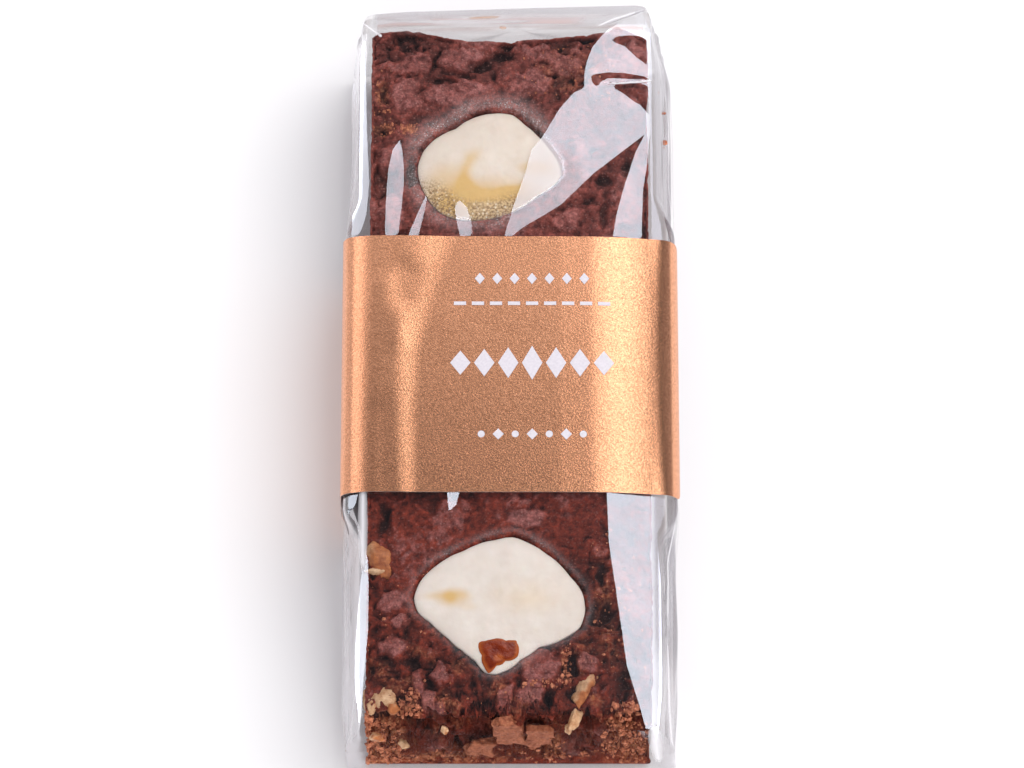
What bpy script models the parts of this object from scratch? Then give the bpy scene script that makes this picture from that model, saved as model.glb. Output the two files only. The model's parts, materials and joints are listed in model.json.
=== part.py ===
"""Bar of rocky road fudge in a clear film bag, with a copper label wrapped round its middle.

Metres, +Z up. The bar lies flat with its length along Y and its width along X, and the
origin is under the middle of the pack. The bag is one closed solid of the film's outer form,
because the film is sealed round the bar. It is a loft: the film stands wide of the bar at its
gussets, is pressed into a rounded box by the label, and ends in two folded walls. The label
starts with round corners below the right top edge, runs over the top and down the left side,
and ends in a shallow hollow under the base.
"""

import math

import bmesh
import bpy
from mathutils import Vector

MM = 0.001

# Pack lengths, in millimetres like every size below
NEAR_Y, FAR_Y = -66.8, 66.1
NEAR_LEAN = 1.2            # the near wall's base stands this far in front of its top edge
FAR_LEAN = -2.4            # the far wall's base lies this far behind its top edge
FAR_SKEW = 0.032           # the far wall's right side stands further out than its left, per mm of X
LEAN_LENGTH = 9.0          # how far into the pack the rings still follow the leaning walls
WALL_HEIGHT = 24.0
RING_STEP = 4.0            # largest distance between two rings of the loft

# Label
LABEL_NEAR_Y, LABEL_FAR_Y = -24.5, 22.1
LABEL_GAP = 0.3
LABEL_THICKNESS = 0.35
LABEL_CORNER = 1.3
LABEL_START_Z = 21.2       # its end on the right side
LABEL_TAIL_X = -12.0       # its end under the base
LABEL_ROWS = 6
COLUMN_SPACE = 0.3         # least distance between two of its columns beside a round corner
HOLLOW_DEPTH = 0.7         # room under the base for the label's tail
HOLLOW_X = (-11.0, -10.0)  # the hollow's step back to the floor

# How many points each straight run of an outline takes between its rounded corners
TOP_POINTS, SIDE_POINTS, BASE_POINTS = 6, 2, 3
CORNER_POINTS = 4
ROUNDING_SHARE = 0.45      # most of a straight run that one corner's rounding takes


def section(top, left_shoulder, left_edge, left_gusset, left_base,
            right_shoulder, right_edge, right_gusset, right_base, edge_round, hollow=0.0):
    """Corners of one cross-section, clockwise from the left top edge: x, z, rounding, points after."""
    return (
        (*left_edge, edge_round, SIDE_POINTS),
        (left_shoulder, top, 2.5, TOP_POINTS),
        (right_shoulder, top, 2.5, SIDE_POINTS),
        (*right_edge, edge_round, SIDE_POINTS),
        (*right_gusset, 0.5, SIDE_POINTS),
        (right_base, 0.0, 0.9, TOP_POINTS),
        (HOLLOW_X[1], 0.0, 0.3, 0),
        (HOLLOW_X[0], hollow, 0.3, BASE_POINTS),
        (left_base, hollow, 0.9, SIDE_POINTS),
        (*left_gusset, 0.5, SIDE_POINTS),
    )


NEAR_END = section(
    top=24.7, left_shoulder=-20.0, left_edge=(-24.9, 24.2), left_gusset=(-28.2, 10.0), left_base=-28.0,
    right_shoulder=21.5, right_edge=(24.7, 24.0), right_gusset=(28.4, 10.0), right_base=28.4, edge_round=0.8)
NEAR_FREE = section(
    top=25.8, left_shoulder=-20.0, left_edge=(-25.4, 24.9), left_gusset=(-29.1, 11.0), left_base=-28.2,
    right_shoulder=18.0, right_edge=(25.0, 23.9), right_gusset=(28.8, 11.0), right_base=28.2, edge_round=0.9)
AT_LABEL = section(
    top=26.0, left_shoulder=-21.8, left_edge=(-28.6, 25.0), left_gusset=(-28.5, 12.0), left_base=-27.2,
    right_shoulder=15.5, right_edge=(28.8, 23.2), right_gusset=(28.5, 12.0), right_base=27.4, edge_round=3.4,
    hollow=HOLLOW_DEPTH)
FAR_FREE = section(
    top=25.8, left_shoulder=-20.5, left_edge=(-25.8, 24.9), left_gusset=(-28.4, 12.0), left_base=-28.3,
    right_shoulder=20.5, right_edge=(25.2, 24.8), right_gusset=(28.6, 12.0), right_base=28.2, edge_round=0.9)
FAR_END = section(
    top=24.4, left_shoulder=-20.0, left_edge=(-25.5, 23.8), left_gusset=(-27.8, 12.0), left_base=-28.5,
    right_shoulder=18.0, right_edge=(24.1, 23.8), right_gusset=(26.9, 12.0), right_base=28.2, edge_round=0.8)

# Where along Y each section stands
STATIONS = (
    (NEAR_Y + 0.8, NEAR_END),
    (-55.0, NEAR_FREE),
    (-33.0, NEAR_FREE),
    (LABEL_NEAR_Y - 1.5, AT_LABEL),
    (LABEL_FAR_Y + 1.4, AT_LABEL),
    (31.0, FAR_FREE),
    (55.0, FAR_FREE),
    (FAR_Y - 0.8, FAR_END),
)

# Rings of an end wall: its size against the last section, and how far it stands out from that
END_RINGS = ((0.988, 0.5), (0.955, 0.8), (0.72, 0.7), (0.4, 0.45))
TUCK_DEPTH = 0.5           # the side folds of an end wall lie this far behind the others
TUCK_SLOPE = 3.0           # how sharply a side fold sets in along the wall's diagonals
TUCK_RISE = 5.0            # how soon it reaches its depth inward from the rim


def smooth(t):
    """Ease from 0 to 1."""
    t = min(max(t, 0.0), 1.0)
    return t * t * (3.0 - 2.0 * t)


def blend(one, other, t):
    """The section between two others."""
    mixed = []
    for a, b in zip(one, other):
        values = [p + (q - p) * t for p, q in zip(a[:3], b[:3])]
        mixed.append((*values, a[3]))
    return tuple(mixed)


def outline(corners):
    """Closed outline of a section as (x, z) points, its corners rounded by quadratic curves."""
    spots = [Vector(corner[:2]) for corner in corners]
    after = spots[1:] + spots[:1]
    lengths = [(q - p).length for p, q in zip(spots, after)]
    reaches = [min(corner[2], ROUNDING_SHARE * min(lengths[i - 1], lengths[i]))
               for i, corner in enumerate(corners)]
    starts = [p + (spots[i - 1] - p).normalized() * reaches[i] for i, p in enumerate(spots)]
    points = []
    for i, corner in enumerate(corners):
        end = spots[i] + (after[i] - spots[i]).normalized() * reaches[i]
        for k in range(CORNER_POINTS):
            t = k / (CORNER_POINTS - 1)
            points.append(starts[i] * (1 - t) ** 2 + spots[i] * 2 * t * (1 - t) + end * t * t)
        next_start = starts[(i + 1) % len(starts)]
        run = corner[3]
        for k in range(run):
            points.append(end.lerp(next_start, (k + 1) / (run + 1)))
    return points


def loft_rings():
    """Rings of the bag's side skin from the near end to the far end, as 3-D points."""
    rings = []
    for (y0, one), (y1, other) in zip(STATIONS, STATIONS[1:]):
        steps = math.ceil((y1 - y0) / RING_STEP)
        for k in range(steps):
            t = k / steps
            rings.append((y0 + (y1 - y0) * t, outline(blend(one, other, smooth(t)))))
    rings.append((STATIONS[-1][0], outline(STATIONS[-1][1])))

    placed = []
    for y, points in rings:
        near = smooth(1 - (y - NEAR_Y) / LEAN_LENGTH) * NEAR_LEAN
        far = smooth(1 - (FAR_Y - y) / LEAN_LENGTH)
        ring = []
        for p in points:
            height = p.y / WALL_HEIGHT
            shift = near * height + far * (FAR_LEAN * (1 - height) + FAR_SKEW * p.x)
            ring.append(Vector((p.x, y + shift, p.y)))
        placed.append(ring)
    return placed


def end_rings(ring, outward):
    """Rings that close an end wall, each a smaller copy of the last ring, and their middle."""
    centre = sum(ring, Vector()) / len(ring)
    half_width = max(abs(p.x - centre.x) for p in ring)
    half_height = max(abs(p.z - centre.z) for p in ring)
    rings = []
    for size, stand in END_RINGS:
        inner = []
        for p in ring:
            q = centre + (p - centre) * size
            side = abs(p.x - centre.x) / half_width - abs(p.z - centre.z) / half_height
            tuck = TUCK_DEPTH * smooth(side * TUCK_SLOPE) * smooth((1 - size) * TUCK_RISE)
            q.y += outward * (stand - tuck)
            inner.append(q)
        rings.append(inner)
    middle = centre + Vector((0, outward * END_RINGS[-1][1], 0))
    return rings, middle


def make_bag():
    """The sealed bag as one closed solid."""
    body = loft_rings()
    near, near_middle = end_rings(body[0], -1)
    far, far_middle = end_rings(body[-1], 1)
    rings = near[::-1] + body + far

    mesh = bmesh.new()
    loops = [[mesh.verts.new(p * MM) for p in ring] for ring in rings]
    for one, other in zip(loops, loops[1:]):
        for i in range(len(one)):
            mesh.faces.new((one[i - 1], one[i], other[i], other[i - 1]))
    for loop, middle in ((loops[0], near_middle), (loops[-1], far_middle)):
        tip = mesh.verts.new(middle * MM)
        for i in range(len(loop)):
            mesh.faces.new((loop[i - 1], loop[i], tip))
    bmesh.ops.recalc_face_normals(mesh, faces=mesh.faces)
    return finish("bag", mesh)


def label_path():
    """The label's inner line round the pack, from its right end over the top to its tail."""
    points = outline(AT_LABEL)
    line = []
    for i, p in enumerate(points):
        along = (points[(i + 1) % len(points)] - points[i - 1]).normalized()
        line.append(p + Vector((-along.y, along.x)) * LABEL_GAP)
    # The outline runs clockwise, so the label's way over the top to the left runs against it
    right_edge = [i for i, p in enumerate(line) if p.x > 0 and p.y > LABEL_START_Z][-1]
    path = [line[(right_edge + 1 - k) % len(line)] for k in range(len(line))]
    path[0] = cut(path[0], path[1], LABEL_START_Z, axis=1)
    tail = next(i for i, p in enumerate(path) if p.y < HOLLOW_DEPTH and p.x > LABEL_TAIL_X)
    path[tail] = cut(path[tail], path[tail - 1], LABEL_TAIL_X, axis=0)
    return path[:tail + 1]


def cut(p, q, value, axis):
    """The point of the line pq at which one coordinate has the value."""
    t = (value - p[axis]) / (q[axis] - p[axis])
    return p.lerp(q, t)


def path_point(path, distance):
    """The point at a distance along the path."""
    for p, q in zip(path, path[1:]):
        length = (q - p).length
        if distance <= length:
            return p.lerp(q, distance / length)
        distance -= length
    return path[-1]


def make_label():
    """The label: a sheet along the path, with round corners at both ends, made solid."""
    path = label_path()
    stops = [0.0]
    for p, q in zip(path, path[1:]):
        stops.append(stops[-1] + (q - p).length)
    total = stops[-1]
    corner_steps = [LABEL_CORNER * (1 - math.cos(math.radians(a))) for a in (0, 25, 50, 75, 90)]
    edge = LABEL_CORNER + COLUMN_SPACE
    inner_stops = [s for s in stops if edge < s < total - edge]
    stops = corner_steps + inner_stops + [total - s for s in reversed(corner_steps)]

    bpy.ops.mesh.primitive_grid_add(x_subdivisions=len(stops) - 1, y_subdivisions=LABEL_ROWS, size=2.0)
    sheet = bpy.context.object
    for vert in sheet.data.vertices:
        column = round((vert.co.x + 1) / 2 * (len(stops) - 1))
        from_end = min(stops[column], total - stops[column], LABEL_CORNER)
        inset = LABEL_CORNER - math.sqrt(LABEL_CORNER ** 2 - (LABEL_CORNER - from_end) ** 2)
        near, far = LABEL_NEAR_Y + inset, LABEL_FAR_Y - inset
        at = path_point(path, stops[column])
        vert.co = Vector((at.x, near + (far - near) * (vert.co.y + 1) / 2, at.y)) * MM
    mesh = bmesh.new()
    mesh.from_mesh(sheet.data)
    bmesh.ops.reverse_faces(mesh, faces=mesh.faces)
    bpy.data.objects.remove(sheet)

    label = finish("label", mesh)
    solid = label.modifiers.new("thickness", "SOLIDIFY")
    solid.thickness = LABEL_THICKNESS * MM
    solid.offset = 1.0
    solid.use_even_offset = True
    return label


def material(name, color, roughness, metallic=0.0, alpha=1.0):
    """A plain Principled material."""
    made = bpy.data.materials.new(name)
    made.use_nodes = True
    shader = made.node_tree.nodes["Principled BSDF"]
    shader.inputs["Base Color"].default_value = (*color, 1.0)
    shader.inputs["Roughness"].default_value = roughness
    shader.inputs["Metallic"].default_value = metallic
    shader.inputs["Alpha"].default_value = alpha
    return made


def finish(name, mesh):
    """Turn a bmesh into a smooth-shaded object of the pack's collection."""
    data = bpy.data.meshes.new(name)
    mesh.to_mesh(data)
    mesh.free()
    made = bpy.data.objects.new(name, data)
    pack.objects.link(made)
    data.shade_smooth()
    data.set_sharp_from_angle(angle=math.radians(35))
    return made


for old in list(bpy.data.objects):
    bpy.data.objects.remove(old)
pack = bpy.data.collections.new("rocky_road_fudge")
bpy.context.scene.collection.children.link(pack)

bag = make_bag()
bag.data.materials.append(material("clear_film", (0.85, 0.84, 0.87), 0.06, alpha=0.35))
label = make_label()
label.data.materials.append(material("copper_label", (0.78, 0.47, 0.27), 0.38, metallic=0.9))
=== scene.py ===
import contextlib
import functools
import json
import math

import bmesh
import bpy
import numpy as np
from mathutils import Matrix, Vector, noise

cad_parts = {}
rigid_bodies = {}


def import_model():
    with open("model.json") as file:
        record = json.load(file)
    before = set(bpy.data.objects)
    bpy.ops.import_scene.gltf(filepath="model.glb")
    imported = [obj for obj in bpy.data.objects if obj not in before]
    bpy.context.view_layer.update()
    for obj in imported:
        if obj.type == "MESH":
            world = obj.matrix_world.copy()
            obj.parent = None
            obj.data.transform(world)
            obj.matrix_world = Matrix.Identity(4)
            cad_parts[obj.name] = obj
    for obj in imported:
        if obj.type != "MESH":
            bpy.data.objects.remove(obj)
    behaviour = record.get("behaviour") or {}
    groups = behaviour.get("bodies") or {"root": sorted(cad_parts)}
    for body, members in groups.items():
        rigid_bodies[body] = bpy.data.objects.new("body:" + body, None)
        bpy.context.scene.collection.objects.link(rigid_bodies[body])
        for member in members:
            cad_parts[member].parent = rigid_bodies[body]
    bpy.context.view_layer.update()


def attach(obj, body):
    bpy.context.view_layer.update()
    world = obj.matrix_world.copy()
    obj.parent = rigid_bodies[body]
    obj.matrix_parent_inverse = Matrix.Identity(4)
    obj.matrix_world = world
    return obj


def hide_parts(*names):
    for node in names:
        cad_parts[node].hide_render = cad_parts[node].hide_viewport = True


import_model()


# Fudge bar. Chocolate fudge with crumbs stirred in, cut from a slab with a knife. Its top is
# pressed smooth where the film lies on it, with pits and cracks between the lumps, and its
# cut ends are crumbly.
MM = 0.001

# The film's outline across the pack at some places along it, which the bar has to stay under
STATION_Y = (-66.0, -55.0, -33.0, -26.0, 23.5, 31.0, 55.0, 65.3)
TOP_Z = (24.7, 25.8, 25.8, 26.0, 26.0, 25.8, 25.8, 24.4)
LEFT_SHOULDER_X = (-20.0, -20.0, -20.0, -21.8, -21.8, -20.5, -20.5, -20.0)
LEFT_EDGE_X = (-24.9, -25.4, -25.4, -28.6, -28.6, -25.8, -25.8, -25.5)
LEFT_EDGE_Z = (24.2, 24.9, 24.9, 25.0, 25.0, 24.9, 24.9, 23.8)
RIGHT_EDGE_X = (24.7, 25.0, 25.0, 28.8, 28.8, 25.2, 25.2, 24.1)
RIGHT_EDGE_Z = (24.0, 23.9, 23.9, 23.2, 23.2, 24.8, 24.8, 23.8)
RIGHT_SHOULDER_Y = (-66.8, -62.0, -55.2, -42.2, -33.4, -25.0, 22.3, 26.6, 31.2, 38.0, 41.4, 66.0)
RIGHT_SHOULDER_X = (22.8, 21.7, 19.6, 17.9, 16.7, 16.4, 17.8, 18.5, 19.7, 21.8, 23.5, 23.6)

BAR_HALF = np.array((24.75, 63.6, 12.3))
BAR_MIDDLE = np.array((-0.15, -1.1, 12.7))
BAR_ROUNDING = 1.1
BAR_BASE_Z = 0.4
# The stretch under the label is hidden, so it gets fewer cuts
HIDDEN_FROM, HIDDEN_TO = -23.0, 20.5
BAR_FAR_X = (-24.3, -23.1, -18.3, -12.4, -7.4, 0.7, 8.7, 16.7, 18.8, 23.7)
BAR_FAR_Y = (61.4, 62.2, 62.6, 61.5, 60.2, 60.3, 61.2, 62.1, 63.2, 61.0)
BAR_NEAR_BASE, BAR_NEAR_LEAN, BAR_NEAR_LIMIT = -65.6, 2.8, -66.3
FILM_CLEARANCE = 0.75

# Outlines of the two marshmallows, which lie in hollows in the top: x, y of each point
FAR_MARSHMALLOW = (
    -16.1, 35.9, -15.2, 38.8, -12.9, 41.3, -9.5, 43.1, -6.2, 45.3, -2.9, 46.0, 0.5, 45.7, 2.5, 43.9,
    4.8, 41.7, 6.8, 39.2, 8.6, 36.4, 8.8, 34.1, 7.5, 32.3, 4.8, 30.5, 1.1, 27.9, -2.8, 26.4, -6.1, 25.9,
    -9.5, 26.2, -12.1, 27.3, -14.1, 29.5, -15.5, 32.3)
NEAR_MARSHMALLOW = (
    -16.3, -42.9, -15.2, -39.8, -12.4, -37.0, -7.7, -34.4, -2.6, -32.5, 0.6, -32.0, 3.1, -33.0, 6.4, -35.2,
    10.0, -38.9, 12.1, -41.7, 12.7, -45.1, 11.7, -48.1, 9.2, -49.8, 4.9, -51.4, 1.7, -53.6, -0.5, -55.4,
    -2.6, -56.2, -4.4, -55.8, -5.9, -53.7, -8.2, -51.9, -10.7, -49.6, -13.4, -47.0, -15.6, -45.2)

# Pits and cracks: middle x, y, z, radii in x, y, z, and depth
BAR_PITS = (
    (-0.4, 59.6, 25, 1.6, 1.5, 4, 1.5), (-2.2, 57.0, 25, 2.7, 1.2, 4, 1.4),
    (-5.2, 55.4, 25, 3.0, 0.9, 4, 1.1), (-8.6, 53.6, 25, 3.0, 0.7, 4, 1.0),
    (-12.0, 51.9, 25, 2.8, 0.5, 4, 0.9), (13.4, 60.3, 25, 1.7, 0.8, 4, 1.4),
    (-21.9, 50.8, 25, 0.6, 3.2, 4, 0.9), (-22.4, 42.6, 25, 1.0, 0.8, 4, 0.6),
    (-3.2, 53.4, 25, 0.5, 1.6, 4, 0.8), (16.4, 33.2, 25, 1.6, 1.2, 4, 1.0),
    (16.0, 27.4, 25, 0.7, 3.2, 4, 1.0), (13.2, 30.0, 25, 1.4, 0.7, 4, 0.8),
    (20.3, 35.5, 25, 0.8, 2.2, 4, 0.9), (-17.4, 34.8, 25, 0.6, 4.4, 4, 1.0),
    (-21.6, -28.6, 25, 1.3, 3.4, 5, 1.2), (15.6, -38.6, 25, 0.8, 1.8, 4, 1.0),
    (16.4, -45.0, 25, 0.7, 1.6, 4, 1.0), (10.5, -54.4, 25, 0.7, 2.6, 5, 1.6),
    (18.8, -58.8, 25, 1.3, 2.4, 5, 0.7), (6.3, -60.4, 25, 1.1, 1.2, 5, 1.9),
    (-4.6, -61.2, 25, 1.8, 1.2, 5, 1.6), (-6.4, -57.8, 25, 0.9, 1.4, 4, 1.2),
    (-17.4, -48.6, 25, 0.8, 2.2, 4, 0.9), (-13.4, -57.4, 25, 0.5, 2.2, 4, 1.0),
    (-15.6, -54.0, 25, 0.8, 1.8, 4, 0.8), (-20.6, -65.0, 21.6, 3.6, 3.4, 2.2, 3.2),
    (-16.6, -65.2, 20.4, 3.0, 3.4, 2.2, 3.0), (-12.6, -65.2, 15.0, 2.2, 2.0, 3.0, 1.2),
    (-4.6, -65.2, 20.0, 1.8, 2.0, 2.6, 1.5), (9.2, -65.0, 15.0, 0.8, 2.0, 1.8, 1.5),
    (13.2, -65.0, 20.0, 1.0, 2.0, 3.0, 1.2), (-9.0, -65.2, 9.0, 2.6, 2.0, 1.6, 0.9),
    (1.2, -65.2, 9.6, 2.6, 2.0, 1.2, 1.0))

# Smooth lumps, many pressed against the film: middle x, y, z, radii in x, y, z, and rise
BAR_LUMPS = (
    (5.0, -54.4, 25, 3.9, 3.4, 5, 0.55), (3.2, -59.2, 25, 2.2, 2.0, 5, 0.3),
    (-11.9, -55.8, 25, 1.5, 1.6, 5, 0.65), (-15.4, -57.6, 25, 1.0, 2.0, 5, 0.55),
    (-14.0, -60.6, 25, 1.3, 2.2, 5, 0.6), (-12.0, -63.0, 24, 1.4, 1.6, 4, 0.55),
    (12.9, -53.8, 25, 1.9, 1.9, 5, 0.55), (-0.8, -60.0, 25, 1.6, 1.8, 5, 0.35),
    (-19.8, -51.4, 25, 2.3, 1.8, 5, 0.4), (-20.0, -43.4, 25, 2.4, 1.9, 5, 0.45),
    (-18.6, -47.3, 25, 1.5, 1.3, 5, 0.35), (-9.0, 56.6, 25, 3.8, 2.0, 5, 0.3),
    (-16.8, 55.8, 25, 3.0, 2.2, 5, 0.25), (-18.0, 49.6, 25, 2.4, 2.8, 5, 0.35),
    (-11.4, 49.4, 25, 3.8, 2.2, 5, 0.4), (-7.0, 51.2, 25, 2.6, 1.7, 5, 0.35),
    (3.6, 51.8, 25, 3.8, 2.4, 5, 0.35), (9.6, 55.6, 25, 2.8, 2.6, 5, 0.25),
    (5.0, 57.4, 25, 2.8, 2.0, 5, 0.3), (20.4, 32.0, 25, 1.8, 3.2, 5, 0.3),
    (10.0, 26.2, 25, 2.6, 2.6, 5, 0.3), (-20.4, 27.6, 25, 2.0, 4.0, 5, 0.3),
    (-21.2, 37.6, 25, 1.4, 2.6, 5, 0.25), (21.4, 57.6, 25, 1.4, 2.2, 5, 0.25),
    (20.6, 48.4, 25, 1.6, 1.8, 5, 0.25), (-5.0, -65.6, 11.6, 2.0, 2.6, 3.0, 0.5),
    (11.0, -65.4, 8.0, 2.6, 2.6, 3.0, 0.4), (16.0, -65.4, 15.0, 1.8, 2.6, 3.4, 0.4),
    (-13.0, -65.4, 9.0, 1.8, 2.6, 2.6, 0.4), (3.0, -28.4, 25, 3.4, 2.0, 5, 0.2))

# Patches, each with its strength, middle x, y, z and radii: crumbly ones, and golden crumb
CRUMBLY_PATCHES = (
    (0.5, -17, 57, 25, 9, 8, 8), (0.55, 10, 56, 25, 9, 8, 8), (0.5, 17, -44, 25, 5, 12, 8),
    (0.35, -22, -45, 25, 4, 16, 8), (-0.4, -5, -29, 25, 16, 6, 8), (-0.5, -8, 50, 25, 9, 5, 8))
GOLD_CORNERS = ((2.6, 20.8, -65, 15, 6.4, 5, 17), (3.2, -22.8, -65, 12, 6.0, 5, 17))
GOLD_PATCHES = (
    (1.8, 6.0, -66, 8, 4.2, 4, 6.4), (0.9, -12.0, -66, 3, 11, 4, 4),
    (1.8, -17.0, -62.6, 24, 2.6, 3.6, 5), (0.8, 9.4, -54.6, 25, 1.2, 4.4, 6),
    (0.9, -22.4, 49.7, 25, 1.6, 3.2, 6), (0.9, -22.2, 43, 25, 2.4, 1.6, 6),
    (0.9, -17.4, 43, 25, 1.8, 1.4, 6), (0.35, 10, 54, 25, 7, 6, 6), (0.5, 18, -44, 25, 5, 14, 6))


def smooth(t):
    """Ease from 0 to 1, for numbers or arrays."""
    t = np.clip(t, 0.0, 1.0)
    return t * t * (3.0 - 2.0 * t)


def share(value, full):
    """0 at nothing, rising straight to 1 at full."""
    return np.clip(value / full, 0, 1)


def alone(piece=None):
    """Deselect everything, then select one piece and make it active."""
    for each in bpy.context.view_layer.objects:
        each.select_set(False)
    if piece:
        piece.select_set(True)
        bpy.context.view_layer.objects.active = piece


@contextlib.contextmanager
def editing(piece, select="SELECT", kind="VERT"):
    """Edit mode on one piece, with all or nothing selected at the start."""
    alone(piece)
    bpy.ops.object.mode_set(mode="EDIT")
    bpy.ops.mesh.select_mode(type=kind)
    bpy.ops.mesh.select_all(action=select)
    yield
    bpy.ops.mesh.select_mode(type="VERT")
    bpy.ops.object.mode_set(mode="OBJECT")


def cut_edges(piece, axis, *passes):
    """Cut the edges that run along one axis, each pass with its number of cuts."""
    with editing(piece, "DESELECT", "EDGE"):
        for cuts in passes:
            bpy.ops.mesh.select_all(action="DESELECT")
            mesh = bmesh.from_edit_mesh(piece.data)
            for edge in mesh.edges:
                along = edge.verts[1].co - edge.verts[0].co
                edge.select_set(abs(along[axis]) > 0.99 * along.length)
            bmesh.update_edit_mesh(piece.data)
            bpy.ops.mesh.subdivide(number_cuts=cuts)


def points_of(piece):
    """The mesh points as an array, in the mesh's own numbers."""
    flat = np.empty(len(piece.data.vertices) * 3)
    piece.data.vertices.foreach_get("co", flat)
    return flat.reshape(-1, 3)


def place_points(piece, points):
    """Move the mesh points, given in millimetres."""
    piece.data.vertices.foreach_set("co", (points * MM).ravel())
    piece.data.update()


def seed_shift(seed):
    """Where in the noise a seed starts."""
    return Vector((seed * 17.3, seed * 9.1, seed * 5.7))


def noise_at(points, size, seed):
    """Soft noise from -1 to 1 at each point, with waves of the given size."""
    shift = seed_shift(seed)
    return np.array([noise.noise(Vector(p) / size + shift) for p in points])


def drift(points, size, small_size, seed, small_seed):
    """Soft noise along each of three axes, with smaller waves on top."""
    return np.stack([noise_at(points, size, seed + k) + 0.6 * noise_at(points, small_size, small_seed + k)
                     for k in range(3)], axis=1)


def chunks_at(points, size, seed):
    """How far each point is inside its own random chunk, and a height from -1 to 1 of that chunk."""
    shift = seed_shift(seed)
    inside, height = np.empty(len(points)), np.empty(len(points))
    for i, p in enumerate(points):
        distances, middles = noise.voronoi(Vector(p) / size + shift)
        inside[i] = distances[1] - distances[0]
        height[i] = noise.cell(middles[0] * 7.31) * 2 - 1
    return inside, height


def spot(points, middle, radii, edge=1.6):
    """1 in the middle of an ellipsoid, easing to 0 at its skin."""
    far = np.sqrt((((points - np.array(middle)) / np.array(radii)) ** 2).sum(axis=1))
    return smooth((1.0 - far) * edge)


def patches(points, table, edge=1.6):
    """Several spots in one: each row is its strength, middle and radii."""
    return sum(strength * spot(points, place[:3], place[3:], edge) for strength, *place in table)


def line_distance(x, y, start, end):
    """Distance of each place to a straight line between two points."""
    (ax, ay), (bx, by) = start, end
    along = (x - ax) * (bx - ax) + (y - ay) * (by - ay)
    t = np.clip(along / ((bx - ax) ** 2 + (by - ay) ** 2 + 1e-9), 0, 1)
    return np.hypot(x - ax - t * (bx - ax), y - ay - t * (by - ay))


def depth_inside(x, y, outline):
    """Distance of each place to an outline, positive inside it."""
    ring = np.reshape(outline, (-1, 2))
    nearest, inside = np.full(len(x), 1e9), np.zeros(len(x), dtype=bool)
    for start, end in zip(ring, np.roll(ring, -1, axis=0)):
        nearest = np.minimum(nearest, line_distance(x, y, start, end))
        crosses = (start[1] > y) != (end[1] > y)
        slope = (end[0] - start[0]) / (end[1] - start[1] + 1e-12)
        inside ^= crosses & (x < start[0] + (y - start[1]) * slope)
    return np.where(inside, nearest, -nearest)


def in_sweets(x, y):
    """Distance of each place to the nearer marshmallow's outline, positive inside it."""
    return np.maximum(depth_inside(x, y, FAR_MARSHMALLOW), depth_inside(x, y, NEAR_MARSHMALLOW))


def keep_values(piece, **named_values):
    """Keep numbers for each point under a name, which the piece's material reads."""
    for name, values in named_values.items():
        kept = piece.data.attributes.new(name, "FLOAT", "POINT")
        kept.data.foreach_set("value", np.asarray(values, dtype=np.float32))


def film_ceiling(x, y):
    """Height of the film over a place on the bar's top."""
    y = np.clip(y, STATION_Y[0], STATION_Y[-1])
    top, left, left_x, left_z, right_x, right_z = (
        np.interp(y, STATION_Y, row)
        for row in (TOP_Z, LEFT_SHOULDER_X, LEFT_EDGE_X, LEFT_EDGE_Z, RIGHT_EDGE_X, RIGHT_EDGE_Z))
    right = np.interp(y, RIGHT_SHOULDER_Y, RIGHT_SHOULDER_X)
    fall_left = np.clip((left - x) / (left - left_x), 0, 1.5) * (top - left_z)
    fall_right = np.clip((x - right) / np.maximum(right_x - right, 0.5), 0, 1.5) * (top - right_z)
    return top - fall_left - fall_right


def finish_piece(piece, name, material, body="root", angle=60.0):
    """Name a finished piece, give it its material, shade it smooth by angle, and attach it to its body."""
    piece.name = piece.data.name = name
    piece.data.materials.clear()
    piece.data.materials.append(material)
    alone(piece)
    bpy.ops.object.shade_smooth_by_angle(angle=math.radians(angle))
    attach(piece, body)


alone()
bpy.ops.mesh.primitive_cube_add(size=2.0)
bar = bpy.context.object
with editing(bar, "DESELECT", "FACE"):
    shape = bmesh.from_edit_mesh(bar.data)
    for face in shape.faces:
        face.select_set(face.normal.z < -0.5)
    bmesh.update_edit_mesh(bar.data)
    bpy.ops.mesh.delete(type="ONLY_FACE")
cut_edges(bar, 1, 6, 49)
cut_edges(bar, 0, 9, 14)
cut_edges(bar, 2, 35)

corner = points_of(bar) * BAR_HALF
stops = np.array((BAR_MIDDLE[1] - BAR_HALF[1], HIDDEN_FROM, HIDDEN_TO, BAR_MIDDLE[1] + BAR_HALF[1]))
cuts = np.cumsum(np.concatenate([[0], np.diff(stops) * (1, 0.22, 1)]))
corner[:, 1] = np.interp((corner[:, 1] / BAR_HALF[1] + 1) / 2, cuts / cuts[-1], stops) - BAR_MIDDLE[1]
inner = np.clip(corner, -(BAR_HALF - BAR_ROUNDING), BAR_HALF - BAR_ROUNDING)
outward = corner - inner
outward /= np.linalg.norm(outward, axis=1)[:, None]
at = inner + outward * BAR_ROUNDING + BAR_MIDDLE
x, y, z = at.T
low_rim = corner[:, 2] < -BAR_HALF[2] + 0.01
z[low_rim] = BAR_BASE_Z
top_side, near_side = outward[:, 2] > 0.6, outward[:, 1] < -0.3

along = (y - (BAR_MIDDLE[1] - BAR_HALF[1])) / (2 * BAR_HALF[1])
broken = noise_at(at * (1, 0, 1), 6.0, 17) * 0.7 + noise_at(at * (1, 0, 1), 2.4, 18) * 0.35
near = BAR_NEAR_BASE + BAR_NEAR_LEAN * z / 25 + (broken + 0.1) * smooth(z / 6)
far = np.interp(x, BAR_FAR_X, BAR_FAR_Y) + 1.2 * (1 - z / 25)
y[:] = near + along * (far - near)

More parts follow.
